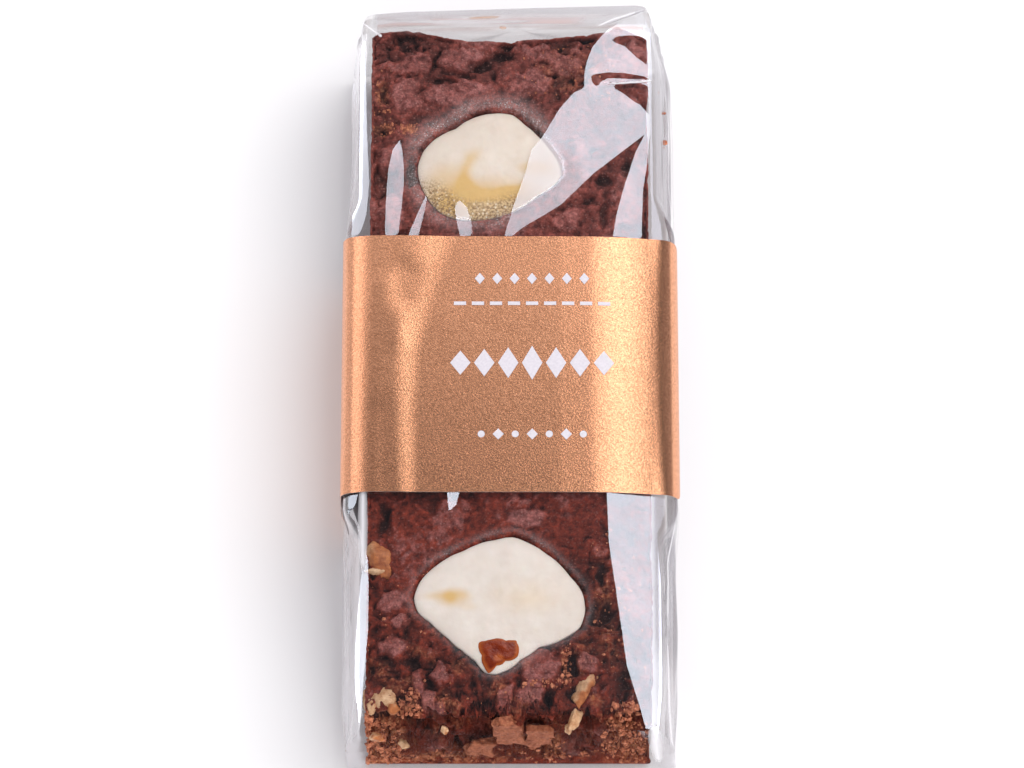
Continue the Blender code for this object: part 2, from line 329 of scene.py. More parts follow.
# The near end has broken away in blocks, so its face stands in and out and its top edge is ragged
broken_end = np.flatnonzero(y < -56.0)
part = at[broken_end]
part_y, part_z = part[:, 1], part[:, 2]
near_share = smooth((-57.5 - part_y) / 3.5)
sway = drift(part, 3.0, 1.1, 31, 36)
block, block_height = chunks_at(part * (1, 0.4, 1) + 1.2 * sway, 4.0, 34)
shard, shard_height = chunks_at(part + 0.8 * sway, 1.9, 35)
push = 0.65 * block_height * share(block, 0.10) + 0.30 * shard_height * share(shard, 0.15)
push += 0.8 * (1 - share(block, 0.14)) + 0.30 * (1 - share(shard, 0.20))
edge, edge_height = chunks_at(part * (1, 1, 0) + 1.0 * sway, 3.1, 36)
drop = np.clip(1.15 + 1.35 * edge_height, 0, 2.6)
drop *= smooth((-60.0 - part_y) / 2.4) * smooth((part_z - 15) / 8)
part_y += near_share * push * smooth((part_z - 0.5) / 4)
part_z -= drop
part += (near_share * smooth((part_z - 1) / 5))[:, None] * sway * (0.35, 0.25, 0.45)
part_y[:] = np.maximum(part_y, BAR_NEAR_LIMIT)
at[broken_end] = part
crumbled = smooth((-60.5 - y) / 3.5) * smooth((z - 16) / 8)

# Where the fudge is crumbly rather than smooth: the near end, the far left and the cut sides
near_end = smooth((-44 - y) / 12)
crumbly = 0.34 + 0.50 * near_end + 0.40 * noise_at(at, 9.0, 1) + patches(at, CRUMBLY_PATCHES)
crumbly = np.clip(crumbly + 0.6 * (outward[:, 2] < 0.7), 0, 1)

warp = drift(at, 4.0, 1.4, 11, 18)
bent = at + 1.1 * warp
big, big_height = chunks_at(bent, 5.2, 2)
middle, middle_height = chunks_at(bent, 2.2, 4)
small, small_height = chunks_at(at + 0.45 * warp, 0.95, 6)
big_cracks = (1 - share(big, 0.16)) ** 1.6 * smooth((noise_at(at, 9.0, 3) + 0.05) / 0.4)
middle_cracks = (1 - share(middle, 0.24)) ** 1.4
small_cracks = 1 - share(small, 0.35)
holes = smooth((noise_at(bent, 1.3, 7) - 0.30) / 0.25)
swell = noise_at(at, 12.0, 8) * 0.26 + noise_at(at, 4.5, 9) * 0.22 + noise_at(at, 1.5, 10) * 0.14
wrinkles = np.clip(1 - 3.0 * np.abs(noise_at(bent, 2.6, 26)), 0, 1) * 0.34
wrinkles += np.clip(1 - 3.2 * np.abs(noise_at(at + 0.6 * warp, 1.2, 27)), 0, 1) * 0.20
fine = noise_at(at, 0.75, 15) * 0.16 + noise_at(at, 0.45, 16) * 0.08

depth = 0.36 - 0.26 * big_height * share(big, 0.2) + 0.7 * big_cracks
depth += crumbly * (0.42 * middle_cracks - 0.34 * middle_height * share(middle, 0.25))
depth += (0.20 + 0.5 * crumbly) * (0.30 * small_cracks - 0.30 * small_height * share(small, 0.25))
depth += holes * (0.10 + 0.55 * crumbly) - swell - fine * (0.4 + 0.8 * crumbly) + wrinkles
pit, lump = np.zeros(len(at)), np.zeros(len(at))
for *place, rx, ry, rz, deep in BAR_PITS:
    pit = np.maximum(pit, spot(at + 0.9 * warp, place, (rx * 1.45, ry * 1.45, rz * 1.5), 1.2) * deep)
for *place, rx, ry, rz, rise in BAR_LUMPS:
    loose, cleared = (1.3, 0.30) if place[1] > 20 else (1.0, 0.6)
    far_out = np.sqrt((((at + loose * warp - place) / (rx, ry, rz)) ** 2).sum(axis=1))
    mask = smooth((1.18 - far_out) / 0.36)
    ring = np.exp(-((far_out - 1.14) / 0.12) ** 2) * (0.5 + 0.5 * noise_at(at, 2.0, 14))
    depth = depth * (1 - cleared * mask) + ring * 0.32 - mask * 0.25 * rise
    lump = np.maximum(lump, mask)
hollow = in_sweets(x, y) * top_side
depth += pit * 1.15 + np.exp(-(np.minimum(hollow, 0) / 0.8) ** 2) * top_side * 0.3
depth = np.where(hollow > -0.4, np.maximum(depth, 0.9 + 1.6 * smooth((hollow + 0.4) / 0.8)), depth)
depth = np.where(outward[:, 1] > 0.3, 0.35 + 0.3 * (depth - 0.35), depth)
depth = np.where(np.abs(outward[:, 0]) > 0.3, 0.35 + 0.45 * (depth - 0.35), depth)
depth = np.where(near_side, (0.95 * depth - 0.1) * smooth(z / 2.5), depth)
low = smooth((1.5 - z) / 1.5)
depth = depth * (1 - 0.7 * low) + 0.2 * low

# The film stops the highest lumps, which leaves smooth pressed places; the material colours them
# pale mauve, partly sugar bloom and partly a painted sheen of the lit tops.
free = depth - 0.35
held = np.where(free < 0.35, 0.175 + np.where(free < -0.35, -0.175, free * 0.5 + free * free / 1.4), free)
held = np.where(top_side, np.maximum(held, 0) - 0.6 * fine, depth)
pressed = smooth(1 - held / 0.45) * top_side * (1 - 0.75 * crumbled)
moved = at - outward * held[:, None]
moved[:, 2] = np.where(low_rim, BAR_BASE_Z, moved[:, 2])
roof = film_ceiling(moved[:, 0], moved[:, 1]) - FILM_CLEARANCE - held
moved[:, 2] = np.where(moved[:, 2] > roof, np.maximum(roof, BAR_BASE_Z), moved[:, 2])
place_points(bar, moved)

gold = np.clip(patches(at, GOLD_CORNERS), 0, 1)
for strength, *place in GOLD_PATCHES:
    gold = np.maximum(gold, strength * spot(at, place[:3], place[3:]))
gold = np.maximum(gold, 0.45 * near_end * smooth((noise_at(at, 3.2, 24) - 0.05) / 0.3))
under_wedge = smooth((x - np.interp(y, RIGHT_SHOULDER_Y, RIGHT_SHOULDER_X) + 1.6) / 0.8) * (y < -25)
gold = np.clip(gold * (1 + 0.5 * noise_at(at, 1.6, 25)) * (1 - 0.7 * lump), 0, 1)
gold *= 1 - 0.85 * under_wedge * smooth((z - 8) / 3)
patchy = 0.75 + 0.5 * noise_at(at, 3.0, 28)
# The depth kept here darkens the cracks and pits in the material: painted shade, lighter on the near face outside
# the pits.
keep_values(bar, depth=share(held - 0.30, 1.9) * (1 - 0.40 * near_side * (1 - np.clip(pit, 0, 1))),
            pressed=np.clip(pressed * patchy + 0.3 * lump + 0.30 * (y > 20), 0, 1), gold=gold)

with editing(bar, "DESELECT", "EDGE"):
    bpy.ops.mesh.select_non_manifold()
    bpy.ops.mesh.edge_face_add()
    bpy.ops.mesh.select_all(action="SELECT")
    bpy.ops.mesh.normals_make_consistent(inside=False)


def set_node(node, **values):
    """Set a node's sockets and properties by name: a number, a colour or another node's socket."""
    for key, value in values.items():
        name = key.replace("_", " ")
        if name in node.inputs:
            set_socket(node.inputs[name], value)
        else:
            setattr(node, key, value)
    return node


def set_socket(socket, value):
    """Link a socket to another one, or set it to a number or a colour."""
    if isinstance(value, bpy.types.NodeSocket):
        socket.id_data.links.new(value, socket)
    else:
        socket.default_value = (*value, 1.0) if isinstance(value, tuple) else value


def add_node(tree, kind, **values):
    """A node with its sockets and properties set by name."""
    return set_node(tree.nodes.new("ShaderNode" + kind), **values)


def add_math(operation, one, other, clamp=False):
    """One step of arithmetic on sockets or numbers."""
    tree = (one if isinstance(one, bpy.types.NodeSocket) else other).id_data
    made = add_node(tree, "Math", operation=operation, use_clamp=clamp)
    set_socket(made.inputs[0], one)
    set_socket(made.inputs[1], other)
    return made.outputs[0]


plus, less, times, most, to_power = (
    functools.partial(add_math, operation)
    for operation in ("ADD", "SUBTRACT", "MULTIPLY", "MAXIMUM", "POWER"))


def mix(factor, one, other):
    """A mix of two colours, each a socket or a tuple."""
    made = add_node(factor.id_data, "Mix", data_type="RGBA", Factor=factor)
    set_socket(made.inputs[6], one)
    set_socket(made.inputs[7], other)
    return made.outputs[2]


def tint(colour, mask, strength, other):
    """Another colour laid over a colour where a mask is, at some strength."""
    return mix(times(mask, strength), colour, other)


def ramp(value, low, high):
    """0 below low, 1 above high, straight between."""
    made = add_node(value.id_data, "MapRange", clamp=True, Value=value, From_Min=low, From_Max=high)
    return made.outputs["Result"]


def make_crumb_grain():
    """Shared effect: fine sugary grain, from crumb clumps down to single grains."""
    group = bpy.data.node_groups.new("crumb_grain", "ShaderNodeTree")
    for name in ("Clump Scale", "Grain Scale"):
        group.interface.new_socket(name, in_out="INPUT", socket_type="NodeSocketFloat")
    for name in ("Clumps", "Grains", "Specks", "Cells", "Height"):
        group.interface.new_socket(name, in_out="OUTPUT", socket_type="NodeSocketFloat")
    scales = group.nodes.new("NodeGroupInput").outputs
    place = add_node(group, "TexCoord").outputs["Object"]
    clumps = add_node(group, "TexNoise", Detail=3.0, Roughness=0.6, Vector=place,
                      Scale=scales["Clump Scale"]).outputs["Fac"]
    grains = add_node(group, "TexNoise", Detail=2.0, Roughness=0.7, Vector=place,
                      Scale=scales["Grain Scale"]).outputs["Fac"]
    specks = add_node(group, "TexVoronoi", Vector=place, Scale=times(scales["Grain Scale"], 0.62)).outputs
    cells = add_node(group, "SeparateColor", Color=specks["Color"]).outputs
    height = less(plus(times(clumps, 0.55), times(grains, 0.35)), times(specks["Distance"], 0.18))
    dots = times(ramp(specks["Distance"], 0.42, 0.16), ramp(cells["Green"], 0.25, 0.80))
    set_node(group.nodes.new("NodeGroupOutput"), Cells=cells["Red"], Specks=dots, Height=height,
             Clumps=ramp(clumps, 0.3, 0.7), Grains=ramp(grains, 0.3, 0.7))
    return group


crumb_grain = make_crumb_grain()


def new_material(name, clump_scale=None, grain_scale=None, **even_values):
    """A Principled material: itself, its shader, the shared grain, and a reader of the mesh's numbers."""
    made = bpy.data.materials.new(name)
    made.use_nodes = True
    tree = made.node_tree
    shader = set_node(tree.nodes["Principled BSDF"], **even_values)
    grain = None
    if grain_scale:
        group = tree.nodes.new("ShaderNodeGroup")
        group.node_tree = crumb_grain
        grain = set_node(group, Clump_Scale=clump_scale, Grain_Scale=grain_scale).outputs

    def value_of(attribute):
        return add_node(tree, "Attribute", attribute_name=attribute).outputs["Fac"]

    return made, shader, grain, value_of


def bump(height, strength, distance):
    """The normal that a height gives."""
    made = add_node(height.id_data, "Bump", Strength=strength, Distance=distance, Height=height)
    return made.outputs["Normal"]


fudge_finish, shader, grain, value_of = new_material(
    "chocolate_fudge", 950.0, 3100.0, Specular_IOR_Level=0.22)
flat_part = value_of("pressed")
brown = mix(grain["Clumps"], (0.075, 0.009, 0.0045), (0.38, 0.054, 0.025))
# Pale mauve on the pressed tops and lumps: partly sugar bloom, partly a painted sheen where the tops catch the
# light.
mauve_bloom_and_sheen = mix(grain["Clumps"], (0.16, 0.042, 0.037), (0.62, 0.222, 0.198))
crumb_colour = mix(grain["Cells"], (0.38, 0.090, 0.033), (1.0, 0.40, 0.19))
colour = mix(flat_part, brown, mauve_bloom_and_sheen)
colour = mix(times(value_of("gold"), ramp(grain["Height"], 0.28, 0.42)), colour, crumb_colour)
# Painted shade: the cracks and pits go almost black with their depth.
colour = mix(ramp(value_of("depth"), 0.10, 0.80), colour, (0.024, 0.006, 0.004))
colour = tint(colour, grain["Specks"], plus(0.16, times(flat_part, 0.42)), (0.66, 0.31, 0.26))
colour = tint(colour, grain["Grains"], 0.55, (0.038, 0.009, 0.006))
set_node(shader, Base_Color=colour, Roughness=ramp(flat_part, 1.35, -0.4),
         Normal=bump(grain["Height"], 0.9, 0.00055))
finish_piece(bar, "fudge_bar", fudge_finish)


# Marshmallows. Two soft white sweets set into the bar's top and squashed flat by the film.
# Each swells over its hole with a tight round edge, and caramel from the fudge has stained it.
RING_X, RING_Y = -2.6, 34.6
FAR_STAINS = ((0.60, -3.4, 28.6, 25, 14, 6.4, 9), (0.45, -11.0, 31.0, 25, 6.0, 6.8, 9),
              (0.50, 4.6, 35.4, 25, 4.2, 1.8, 9))
NEAR_STAINS = ((1.05, -9.6, -42.9, 25, 4.0, 2.3, 9), (0.34, -12.6, -42.6, 25, 4.2, 1.2, 9),
               (0.26, 2.5, -43.0, 25, 9, 4.5, 9), (0.3, -7.0, -44.6, 25, 2.2, 1.2, 9))


def reach_at(outline, angles):
    """Distance from an outline's middle to its edge in each direction, with rounded corners."""
    ring = np.reshape(outline, (-1, 2))
    middle = (ring.min(axis=0) + ring.max(axis=0)) / 2
    offsets = ring - middle
    turn = np.arctan2(offsets[:, 1], offsets[:, 0])
    order = np.argsort(turn)
    turn, reach = turn[order], np.hypot(offsets[:, 0], offsets[:, 1])[order]
    turn = np.concatenate([turn - 2 * np.pi, turn, turn + 2 * np.pi])
    profile = np.interp(np.linspace(-np.pi, np.pi, 721), turn, np.tile(reach, 3))
    window = np.hanning(17) / np.hanning(17).sum()
    profile = np.convolve(np.tile(profile[:-1], 3), window, mode="same")[719:1441]
    return middle, np.interp(angles, np.linspace(-np.pi, np.pi, 722), profile)


def make_pillow(outline, edge_z, rise, sink, tightness, rough, seed):
    """A squashed sweet: a ball drawn out to an outline, with a flat top and a tight edge."""
    bpy.ops.mesh.primitive_uv_sphere_add(segments=144, ring_count=72, radius=1.0)
    piece = bpy.context.object
    ball = points_of(piece)
    angles = np.arctan2(ball[:, 1], ball[:, 0])
    middle, reach = reach_at(outline, angles)
    flat_reach = np.hypot(ball[:, 0], ball[:, 1]) ** tightness
    height = np.sign(ball[:, 2]) * np.abs(ball[:, 2]) ** (tightness * 1.3)
    at = np.stack([middle[0] + flat_reach * reach * np.cos(angles),
                   middle[1] + flat_reach * reach * np.sin(angles),
                   edge_z + np.where(height > 0, height * rise, height * sink)], axis=1)
    away = ball * (0.6, 0.6, 1.0)
    at += away * (rough * noise_at(at, 2.2, seed) + 0.6 * rough * noise_at(at, 0.9, seed + 1))[:, None]
    place_points(piece, at)
    return piece, at, flat_reach


far_sweet, at, reach_out = make_pillow(FAR_MARSHMALLOW, 24.1, 1.00, 5.0, 0.72, 0.10, 21)
ring_turn = np.arctan2(at[:, 1] - RING_Y, (at[:, 0] - RING_X) * 0.75)
ring_far = np.hypot((at[:, 0] - RING_X) * 0.80, at[:, 1] - RING_Y) + 0.9 * noise_at(at, 5.0, 23)
opening = smooth(0.5 + 1.2 * np.cos(ring_turn - 3.3) - 0.6 * np.sin(ring_turn))
stain = 0.62 * np.exp(-((ring_far - 4.3) / 0.9) ** 2) * opening
stain += 0.85 * np.exp(-((ring_far - 4.6) / 0.8) ** 2) * smooth((34.0 - at[:, 1]) / 4)
wet = smooth((reach_out - 0.55) / 0.3) * smooth((33.0 - at[:, 1] - 0.12 * at[:, 0]) / 4)
keep_values(far_sweet, stain=np.clip(stain + patches(at, FAR_STAINS) + 0.12, 0, 1), wet=wet)

near_sweet, at, reach_out = make_pillow(NEAR_MARSHMALLOW, 24.2, 1.00, 5.0, 0.70, 0.09, 31)
stain = patches(at, NEAR_STAINS, 1.0) * (1 + 0.6 * noise_at(at, 2.5, 33))
keep_values(near_sweet, stain=np.clip(stain, 0, 1), wet=np.zeros(len(at)))

sweet_finish, shader, grain, value_of = new_material(
    "white_marshmallow", 260.0, 2800.0,
    Roughness=0.55, Specular_IOR_Level=0.3, Subsurface_Weight=0.12, Subsurface_Scale=0.002)
white = mix(grain["Clumps"], (0.63, 0.56, 0.495), (0.71, 0.65, 0.59))
colour = mix(value_of("stain"), white, (0.60, 0.39, 0.145))
colour = mix(times(value_of("wet"), ramp(grain["Grains"], 0.25, 0.75)), colour, (0.22, 0.125, 0.05))
colour = tint(colour, times(value_of("wet"), grain["Specks"]), 0.7, (0.80, 0.74, 0.60))
colour = tint(colour, grain["Grains"], 0.08, (0.42, 0.34, 0.28))
set_node(shader, Base_Color=colour, Normal=bump(grain["Height"], 0.25, 0.0003))
finish_piece(far_sweet, "marshmallow_far", sweet_finish)
finish_piece(near_sweet, "marshmallow_near", sweet_finish)


# Caramel. A flat toffee chip stuck to the near marshmallow's edge, dark amber with
# rounded edges and a wet shine.
CARAMEL_CHIP = (
    -5.4, -50.7, -3.3, -50.0, -0.6, -50.3, 1.2, -50.4, 1.5, -52.0, 1.2, -53.3, -0.8, -54.0, -2.3, -54.8,
    -3.7, -56.2, -4.4, -55.0, -4.8, -53.0)

chip, at, reach_out = make_pillow(CARAMEL_CHIP, 24.75, 0.55, 0.8, 0.62, 0.12, 41)
thin_place = spot(at, (-1.9, -53.6, 25), (1.2, 0.8, 3))
keep_values(chip, thin=smooth((reach_out - 0.7) / 0.3) * 0.7 + 0.5 * thin_place)
caramel_finish, shader, grain, value_of = new_material(
    "toffee_caramel", 900.0, 3000.0, Roughness=0.30, Specular_IOR_Level=0.2)
amber = mix(grain["Clumps"], (0.12, 0.010, 0.002), (0.24, 0.032, 0.005))
colour = mix(value_of("thin"), amber, (0.46, 0.115, 0.022))
set_node(shader, Base_Color=colour, Normal=bump(grain["Height"], 0.5, 0.0004))
finish_piece(chip, "caramel_chip", caramel_finish)


# Nuts. Broken nut pieces that stand in the fudge, cut through with it: pale flesh with a
# thin amber skin round it. Each row is middle x, y, z, half sizes, turn in degrees, and how
# much of the piece is amber skin.
NUT_PIECES = (
    (-22.0, -35.6, 23.6, 2.4, 4.2, 1.5, 24, 0.85), (-22.6, -38.0, 24.0, 1.9, 0.6, 0.8, 0, -0.2),
    (-21.2, -60.0, 22.9, 2.3, 2.2, 1.5, 30, 0.15), (-19.8, -61.4, 22.8, 1.4, 1.2, 1.2, -20, 0.55),
    (-23.6, -60.4, 22.6, 1.3, 2.6, 1.3, 6, 0.2), (13.0, -57.8, 23.2, 1.9, 2.7, 1.4, -14, 0.45),
    (11.9, -59.9, 23.2, 1.3, 2.2, 1.2, -20, 0.6), (14.2, -59.4, 23.2, 0.9, 2.1, 1.1, -12, 0.8),
    (10.8, -63.2, 22.4, 1.0, 2.2, 1.4, -18, 0.1), (9.8, -64.6, 20.8, 0.7, 1.0, 1.1, 0, 0.05),
    (-18.0, -65.0, 12.4, 0.9, 0.8, 0.8, 0, 0.1), (-11.1, -64.8, 20.6, 0.7, 0.7, 0.7, 0, 0.3),
    (-22.6, -65.0, 17.0, 1.3, 0.8, 1.1, 0, 0.55))


def turned(one, other, degrees):
    """Two coordinates turned about the third axis."""
    cos, sin = math.cos(math.radians(degrees)), math.sin(math.radians(degrees))
    return one * cos - other * sin, one * sin + other * cos


def make_lump(middle, sizes, turn, amber_share, rough, seed, rounds):
    """A broken lump: a ball pulled out of shape with flat breaks."""
    bpy.ops.mesh.primitive_ico_sphere_add(subdivisions=rounds, radius=1.0)
    piece = bpy.context.object
    ball = points_of(piece)
    ball *= (1 + 0.34 * noise_at(ball, 0.9, seed) + 0.12 * noise_at(ball, 0.35, seed + 3))[:, None]
    for k in range(5):
        facing = Vector((math.cos(seed * 2.1 + k * 2.4), math.sin(seed * 1.3 + k * 2.0), 0.3 * k))
        facing.normalize()
        reach = ball @ np.array(facing)
        ball -= np.maximum(reach - 0.72, 0)[:, None] * np.array(facing) * 0.85
    at = ball * np.array(sizes)
    at = np.stack([*turned(at[:, 0], at[:, 1], turn), at[:, 2]], axis=1)
    at += (rough * noise_at(at + seed, 0.6, seed + 5))[:, None] * ball
    place_points(piece, at + np.array(middle))
    rim = amber_share * 1.5 - 0.55 + 0.45 * noise_at(ball, 0.7, seed + 9)
    rim += 0.35 * ball[:, 0] - 0.25 * ball[:, 1]
    keep_values(piece, skin=smooth(rim / 0.5))
    return piece


def join(pieces):
    """Join several meshes into the first one."""
    alone(pieces[0])
    for each in pieces[1:]:
        each.select_set(True)
    bpy.ops.object.join()
    return pieces[0]


nuts = join([make_lump(n[:3], n[3:6], n[6], n[7], 0.13, 50 + i, 4) for i, n in enumerate(NUT_PIECES)])
nut_finish, shader, grain, value_of = new_material(
    "broken_nut", 800.0, 2600.0, Roughness=0.5, Specular_IOR_Level=0.4)
flesh = mix(grain["Clumps"], (0.46, 0.20, 0.075), (0.88, 0.60, 0.36))
skin = mix(grain["Clumps"], (0.28, 0.065, 0.016), (0.68, 0.24, 0.07))
colour = tint(mix(value_of("skin"), flesh, skin), grain["Grains"], 0.25, (0.16, 0.045, 0.018))
set_node(shader, Base_Color=colour, Normal=bump(grain["Height"], 0.5, 0.0004))
finish_piece(nuts, "nut_pieces", nut_finish)


# Crumbs. Fudge crumbs broken off by the knife, caught between the bar's near end and corners
# and the film, golden where they are only sugar and biscuit.
# Fields of crumbs: middle x, y, z, half sizes of the field, how many, largest size
CRUMB_FIELDS = (
    (19.2, -63.4, 22.6, 2.4, 2.8, 3.0, 170, 0.42), (19.4, -64.6, 12.0, 3.8, 1.8, 11.0, 330, 0.42),
    (-21.8, -64.4, 12.0, 3.2, 2.0, 11.0, 400, 0.54), (-2.0, -64.5, 3.5, 18.0, 2.0, 3.5, 150, 0.36),
    (6.0, -64.5, 8.0, 3.4, 2.0, 6.0, 120, 0.42), (-17.0, -61.6, 23.4, 1.8, 3.2, 2.4, 110, 0.4),
    (9.4, -54.6, 24.0, 0.9, 3.8, 2.0, 60, 0.36), (5.6, -57.8, 24.0, 3.4, 0.8, 2.0, 40, 0.34),
    (10.4, 54.0, 24.5, 8.0, 6.0, 2.0, 60, 0.24), (-19.6, 43.0, 24.4, 3.4, 1.2, 2.0, 50, 0.26),
    (18.2, -44.0, 24.2, 4.6, 14.0, 2.0, 60, 0.26), (-8.0, -60.0, 23.4, 10.0, 4.0, 2.4, 36, 0.3),
    (-22.4, 48.0, 24.2, 1.6, 6.6, 2.0, 40, 0.26), (-19.0, -46.0, 24.2, 5.0, 9.0, 2.0, 30, 0.24))
SMALLEST_CRUMB = 0.10
# Crumbs stuck to the film's right wall: middle x, y, z and size
STRAY_CRUMBS = (
    (26.2, 52.4, 18.6, 0.24), (27.1, 49.5, 16.2, 0.36), (27.1, 43.9, 16.0, 0.56), (27.0, 43.0, 16.0, 0.26))
# Flakes split off the cut end: middle x, y, z, half sizes, turn in degrees
FLAKES = (
    (-0.3, -64.4, 18.2, 2.4, 0.6, 4.6, 6), (4.7, -64.7, 16.6, 2.2, 0.5, 3.0, -5),
    (-5.2, -65.2, 11.6, 2.0, 0.7, 2.7, -8))

crumbs = []
for k, (x, y, z, rx, ry, rz, turn) in enumerate(FLAKES):
    bpy.ops.mesh.primitive_cube_add(size=2.0)
    flake = bpy.context.object
    with editing(flake):
        bpy.ops.mesh.bevel(offset=0.16, segments=2, affect="EDGES")
        bpy.ops.mesh.subdivide(number_cuts=7)
    block = points_of(flake)
    at = block * (rx, ry, rz)
    swell = noise_at(at, 2.6, 80 + k) * 1.1 + noise_at(at, 0.9, 83 + k) * 0.45
    at += swell[:, None] * np.sign(block) * (1, 0.5, 1)
    turned_x, turned_z = turned(at[:, 0], at[:, 2], turn)
    place_points(flake, np.stack([turned_x, at[:, 1] + 0.12 * at[:, 2], turned_z], axis=1) + (x, y, z))
    keep_values(flake, slab=np.ones(len(at)))
    crumbs.append(flake)

bpy.ops.mesh.primitive_ico_sphere_add(subdivisions=2, radius=1.0)
crumb_start = bpy.context.object
ball = points_of(crumb_start)


def add_crumb(middle, sizes, rough, settle):
    """A copy of the first crumb, put out of shape, in the list of crumbs."""
    one = crumb_start.copy()
    one.data = crumb_start.data.copy()
    bpy.context.collection.objects.link(one)
    away = ball * (1 + rough * noise_at(ball, 0.55, len(crumbs) * 0.37))[:, None]
    at = middle + away * sizes
    if settle:
        at[:, 2] = np.minimum(at[:, 2], film_ceiling(at[:, 0], at[:, 1]) - 0.3)
    place_points(one, at)
    crumbs.append(one)


chance = np.random.default_rng(7)
bar_points = points_of(bar) / MM
for x, y, z, rx, ry, rz, count, largest in CRUMB_FIELDS:
    offset = np.abs(bar_points - (x, y, z)) / (rx, ry, rz)
    inside = np.flatnonzero((offset.max(axis=1) < 1) & (bar_points[:, 2] > 0.8))
    for k in range(count):
        middle = bar_points[inside[chance.integers(len(inside))]]
        size = SMALLEST_CRUMB + (largest - SMALLEST_CRUMB) * chance.random() ** 2.2
        middle = middle + (0, 0.3 * size * (middle[1] < -62), -0.25 * size)
        add_crumb(middle, size * (0.6 + 0.9 * chance.random(3)), 0.75, True)
for x, y, z, size in STRAY_CRUMBS:
    add_crumb(np.array((x, y, z)), size * np.array((1.0, 0.9, 0.6)), 0.6, False)
bpy.data.objects.remove(crumb_start)
crumbs = join(crumbs)
crumb_finish, shader, grain, value_of = new_material(
    "fudge_crumbs", 1200.0, 3400.0, Roughness=0.8, Specular_IOR_Level=0.25)
loose = mix(grain["Clumps"], (0.25, 0.056, 0.025), (1.0, 0.385, 0.208))
slab = mix(grain["Clumps"], (0.19, 0.050, 0.025), (0.54, 0.185, 0.095))
colour = tint(mix(value_of("slab"), loose, slab), grain["Specks"], 0.35, (0.80, 0.38, 0.20))
colour = tint(colour, grain["Grains"], 0.45, (0.10, 0.028, 0.014))
set_node(shader, Base_Color=colour, Normal=bump(grain["Height"], 0.5, 0.0003))
finish_piece(crumbs, "fudge_crumbs", crumb_finish, angle=30.0)


# Film bag. Thin clear film wrapped round the bar and sealed, stiff enough to stand in flat
# facets: some catch the light as white bands. It clings round the marshmallows, leans out to
# a fold along each side, and its two ends are folded in like a parcel's.
NEAR_Y, FAR_Y = -66.8, 66.1
NEAR_LEAN, FAR_LEAN, FAR_SKEW, LEAN_LENGTH, WALL_HEIGHT = 1.2, -2.4, 0.032, 9.0, 24.0
FILM_ROWS = 260
LEFT_GUSSET = (
    (-28.2, 10.0), (-29.1, 11.0), (-29.1, 11.0), (-28.5, 12.0), (-28.5, 12.0), (-28.4, 12.0), (-28.4, 12.0),
    (-27.8, 12.0))
RIGHT_GUSSET = (
    (28.4, 10.0), (28.8, 11.0), (28.8, 11.0), (28.5, 12.0), (28.5, 12.0), (28.6, 12.0), (28.6, 12.0),
    (26.9, 12.0))
LEFT_BASE = (-28.0, -28.2, -28.2, -27.2, -27.2, -28.3, -28.3, -28.5)
RIGHT_BASE = (28.4, 28.2, 28.2, 27.4, 27.4, 28.2, 28.2, 28.2)
EDGE_ROUND = (0.8, 0.9, 0.9, 3.4, 3.4, 0.9, 0.9, 0.8)
BASE_HOLLOW = (0.0, 0.0, 0.0, 0.7, 0.7, 0.0, 0.0, 0.0)
# Points after each corner, from the left top edge round to the right
RUNS = (12, 96, 22, 22, 16, 8, 0, 6, 16, 22)
CORNER_POINTS = 5
END_SIZES = (
    0.997, 0.988, 0.975, 0.955, 0.92, 0.88, 0.84, 0.78, 0.72, 0.64, 0.56, 0.48, 0.4, 0.3, 0.2, 0.1, 0.0)

# Flat facets that catch the light, as outlines on the pack's top: x, y of each point
BRIGHT_FACETS = (
    (-1.0, 22.3, 0.6, 28.0, 2.6, 34.0, 3.8, 38.6, 5.6, 40.9, 8.6, 46.2, 11.0, 49.2, 12.9, 50.2, 13.0, 52.7,
     13.4, 55.2, 14.4, 58.0, 16.0, 60.4, 17.6, 62.1, 19.8, 63.5, 23.0, 65.3, 24.6, 62.0, 24.9, 52.4,
     24.6, 51.2, 24.5, 43.4, 24.3, 40.9, 23.5, 41.5, 14.5, 34.1, 8.6, 28.0, 1.9, 23.7, 0.4, 22.3),
    (23.5, 41.4, 21.8, 38.0, 19.7, 31.2, 18.5, 26.6, 17.8, 22.3, 22.7, 22.3, 23.0, 30.9, 23.8, 36.2,
     24.3, 42.0),
    (16.4, -24.0, 16.7, -33.4, 17.9, -42.2, 19.6, -55.2, 21.7, -62.0, 23.0, -66.8, 24.1, -68.8, 24.9, -65.6,
     25.6, -57.8, 25.8, -50.4, 25.6, -39.9, 24.9, -31.5, 24.5, -24.0),
    (-19.7, 41.6, -20.4, 38.9, -21.1, 35.6, -21.4, 32.2, -21.6, 28.1, -21.7, 22.3, -19.4, 22.3, -18.8, 28.1,
     -18.5, 32.2, -18.5, 35.6, -18.9, 38.9),
    (-14.3, 30.6, -15.6, 27.6, -17.7, 22.3, -15.9, 22.3, -14.7, 27.6),
    (-8.9, 29.1, -9.6, 27.6, -9.2, 24.7, -8.7, 22.3, -6.6, 22.3, -6.7, 24.7, -7.5, 27.6),
    (-26.9, 60.0, -26.9, 42.7, -27.0, 32.6, -27.4, 26.7, -27.6, 22.6, -25.9, 22.6, -24.9, 26.7, -24.5, 32.6,
     -25.0, 42.7, -25.5, 60.0),
    (-10.8, -24.0, -10.4, -27.9, -9.2, -26.8, -8.5, -24.0),
    (-27.4, -23.4, -27.7, -28.4, -26.2, -26.5, -25.4, -23.4),
    (-24.6, -34.3, -25.3, -39.8, -25.7, -45.5, -26.1, -51.7, -26.4, -57.9, -26.6, -62.6, -26.1, -67.8,
     -25.5, -65.1, -24.8, -61.9, -24.5, -56.4, -23.9, -48.6, -23.9, -41.1, -24.1, -36.1))
